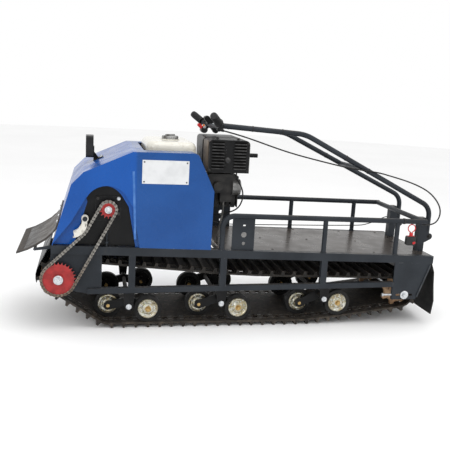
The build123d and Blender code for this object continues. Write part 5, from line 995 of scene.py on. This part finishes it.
def dress_handle():
    """Grip ribs and end caps, cable ties, and the controls' small parts. They move with the handle."""
    ribs, ends, ties, joins = [], [], [], []
    for side in (-1, 1):
        drop = HANDLE_TWIST / 2 * (1 + side)
        end, bend = (np.array((x, side * y, z - drop)) for x, y, z in (GRIP_END, GRIP_BEND))
        way = unit(bend - end)
        for i in range(11):
            place = end + way * (8 + 6.4 * i)
            ribs.append(turned([(16.2, 0), (17.6, 0.9), (17.6, 2.3), (16.2, 3.2)], place, way, 28))
        ribs.append(turned([(16.4, 0), (20.5, 1.5), (20.5, 4), (16.4, 5.5)], end + way * 76, way, 32))
        ends.append(turned([(15.6, 0), (14.6, 1.0), (8.0, 1.3)], end - way * 4.0, -way, 28))
        ends.append(turned([(5.2, 0), (5.2, 1.6), (4.4, 1.9)], end - way * 4.4, -way, 20))
    put("grip_ribs", ribs, "black_rubber", body="handle")
    put("grip_ends", ends, "black_rubber", black_moulding, body="handle")
    tied = [(745, -1, 0), (890, -1, 0), (1220, -1, 9), (1342, -1, 14), (700, 1, 0), (980, 1, 0), (1240, 1, 0)]
    for x, side, tail in tied:
        ties += strap_round(*handle_axis(x, side), HANDLE_R + 0.2, 4.6, 1.2, tail)
    put("handle_ties", ties, "black_plastic", body="handle")
    button = turned([(5.2, 0), (5.2, 3), (4.2, 4.6), (1.5, 5.2)], (560, 107.5, 927.5), LEFT, 20)
    put("push_button", [button], "red_plastic", orange_moulding, body="handle")
    for side in (-1, 1):
        joins.append(weld(*handle_axis(603, side), HANDLE_R - 0.4, 2.4))
    put("handle_welds", joins, "black_paint", body="handle")
    screws = bolt((565, 107.5, 921), LEFT, 5, 4) + bolt((607, 107.5, 935), LEFT, 4, 4)
    put("control_screws", screws, "zinc", bright_zinc, body="handle")


# Cables and hose

# Each cord by the node that it stands for: its route as in the part's source, its diameter and length in
# millimetres, and what it is.
CORDS = {
    "throttle_cable": {
        "body": "handle", "across": 7, "length": 770, "lay": "taut", "stiffness": "stiff",
        "route": [(600, -205.6, 923.8), (668, -203, 909), (760, -200, 883), (850, -197, 855),
                  (945, -194, 829), (1045, -191, 807), (1145, -188, 786.5), (1225, -185, 771),
                  (1290, -183, 763), (1350, -181.3, 756)]},
    "cable_loop": {
        "across": 7, "length": 568, "lay": "hanging", "stiffness": "stiff",
        "route": [(1350.5, -181.3, 755.9), (1397, -180, 750.5), (1460, -183, 735), (1525, -193, 719),
                  (1590, -207, 698), (1650, -224, 668), (1694, -240, 620), (1707, -253, 575),
                  (1690, -265, 533), (1652, -275.5, 512.5), (1604, -275.5, 512.4)]},
    "plug_lead": {
        "across": 7, "length": 390, "lay": "loose", "stiffness": "stiff",
        "route": [(686, -137, 727), (686, -137, 699), (706, -147, 671), (721, -152, 634), (719, -150, 590),
                  (704, -137, 554), (674, -115, 531), (632, -98, 519), (570, -88, 508), (520, -88, 508)]},
    "engine_hose": {
        "across": 10, "length": 209, "lay": "hanging", "stiffness": "medium", "finish": grey_hose,
        "route": [(634, -120, 581), (634, -120, 521), (616, -121, 452), (613, -120, 373.4)]},
    "deck_cable": {
        "across": 5, "length": 1299, "lay": "taut", "stiffness": "stiff",
        "route": [(520, 60, 466), (552, 60, 466), (590, 85, 455), (625, 135, 438), (655, 188, 420),
                  (692, 236, 402), (745, 261, 391), (1500, 261, 392.5), (1555, 261, 402), (1605, 260, 420),
                  (1640, 244, 444), (1655.5, 214, 460), (1655.5, 183.5, 460)]},
    "kill_switch_cord": {
        "across": 5, "length": 109, "lay": "coiled", "stiffness": "limp", "finish": red_moulding,
        "slot": "red_plastic", "name": "kill_switch_ring_line"},
}
RING_X, RING_Z, RING_R = 1549, 495.1, 19.6
turn = np.radians(np.linspace(-78, 258, 12))
CORDS["kill_switch_cord"]["route"] = np.stack(
    [RING_X + RING_R * np.cos(turn), np.full(12, -HOOP_Y), RING_Z + RING_R * np.sin(turn)], -1)


def lay_cords():
    """Each cord is a round NURBS curve with its route's points as control points."""
    for node, cord in CORDS.items():
        name = cord.get("name", node + "_line")
        curve = bpy.data.curves.new(name, "CURVE")
        curve.dimensions = "3D"
        curve.bevel_depth = cord["across"] * MM / 2
        curve.bevel_resolution = 3
        curve.resolution_u = 10
        curve.use_fill_caps = True
        route = np.array(cord["route"], float) * MM + STATION_SHIFT
        spline = curve.splines.new("NURBS")
        spline.points.add(len(route) - 1)
        spline.points.foreach_set("co", np.c_[route, np.ones(len(route))].ravel())
        spline.order_u = 3
        spline.use_endpoint_u = True
        spline.use_smooth = True
        curve.materials.append(material(cord.get("finish", black_rubber)))
        piece = add(name, curve)
        facts = {"exit": route[0].tolist(), "length": cord["length"] * MM, "diameter": cord["across"] * MM}
        if node == "cable_loop":
            piece, facts["path"] = as_mesh(piece, route)
        else:
            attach(piece, cord.get("body", "chassis"))
        cord.get("slot", "black_rubber")
        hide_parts(node)


def curve_mesh(piece):
    """The mesh that a curve gives as it stands."""
    bpy.context.view_layer.update()
    return bpy.data.meshes.new_from_object(piece.evaluated_get(bpy.context.evaluated_depsgraph_get()))


def as_mesh(piece, route):
    """The loop as a mesh tube from the handle to the chassis, and the path of its middle line."""
    tube = curve_mesh(piece)
    piece.data.bevel_depth = 0.0
    line = curve_mesh(piece)
    path = np.zeros(len(line.vertices) * 3)
    line.vertices.foreach_get("co", path)
    bpy.data.objects.remove(piece)
    tube.name = "cable_loop_tube"
    tube.materials.clear()
    tube.materials.append(material(black_rubber))
    made = add("cable_loop_tube", tube)
    tuple(route[-1])
    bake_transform(made)
    return made, path.reshape(-1, 3).tolist()


# Floor, light and camera


def lay_floor():
    """A round pale floor: rings of points at growing radius."""
    rings, spokes = 24, 96
    radius = FLOOR_RADIUS * (np.arange(rings + 1) / rings) ** 2
    turn = turns(spokes)
    x, y = radius[:, None] * np.cos(turn), radius[:, None] * np.sin(turn)
    grid = np.stack([x, y, np.zeros_like(x)], -1)
    mesh = bpy.data.meshes.new("floor")
    i, j = np.meshgrid(np.arange(rings), np.arange(spokes), indexing="ij")
    k = (j + 1) % spokes
    faces = np.stack([i * spokes + j, (i + 1) * spokes + j, (i + 1) * spokes + k, i * spokes + k], -1)
    mesh.from_pydata(grid.reshape(-1, 3).tolist(), [], faces.reshape(-1, 4).tolist())
    floor = add("floor", mesh)
    f = Finish("floor_white", rough=0.9, level=0.1)
    mesh.materials.append(f.give(f.cloud((0.7, 2), (0.3, 0.7), 0.93, 0.95)))
    floor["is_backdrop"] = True


def aim(place, target):
    """The turn that points a light's or camera's -Z at the target."""
    return (Vector(target) - Vector(place)).to_track_quat("-Z", "Y")


def set_lights():
    """A bright even surround and three soft boxes."""
    world = bpy.data.worlds.new("studio")
    bpy.context.scene.world = world
    world.use_nodes = True
    surround = world.node_tree.nodes["Background"]
    surround.inputs["Color"].default_value = (1.0, 1.0, 1.0, 1)
    surround.inputs["Strength"].default_value = SURROUND
    for box in SOFT_BOXES:
        light = bpy.data.lights.new(box["name"], "AREA")
        light.shape = "DISK"
        light.size = box["size"]
        light.energy = box["power"]
        lamp = add(box["name"], light)
        lamp.location = box["place"]
        lamp.rotation_mode = "QUATERNION"
        lamp.rotation_quaternion = aim(box["place"], box["aim"])
    bpy.context.scene.view_settings.view_transform = "Standard"


def set_camera():
    """The photograph's camera: its place, its axes and its lens."""
    data = bpy.data.cameras.new("photo_camera")
    data.sensor_fit = "HORIZONTAL"
    data.sensor_width = SENSOR_MM
    data.lens = SENSOR_MM * FOCAL_PIXELS / FRAME_PIXELS
    camera = add("photo_camera", data)
    turn = Matrix((CAMERA_RIGHT, CAMERA_UP, CAMERA_BACK)).transposed()
    camera.matrix_world = Matrix.Translation(station(*CAMERA_STATION)) @ turn.to_4x4()
    bpy.context.scene.camera = camera


set_camera()
lay_cords()
set_lights()
lay_floor()
paint_the_frame()
for dress in (dress_rollers, dress_track, dress_chain, dress_sprockets, dress_frame, dress_hood, dress_shoe,
              dress_lamp, dress_tank, dress_guard, dress_engine, dress_deck, dress_flaps, dress_handle):
    dress()

[[list(map(float, corner)) for corner in box] for box in (CAD_BOX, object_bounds())]
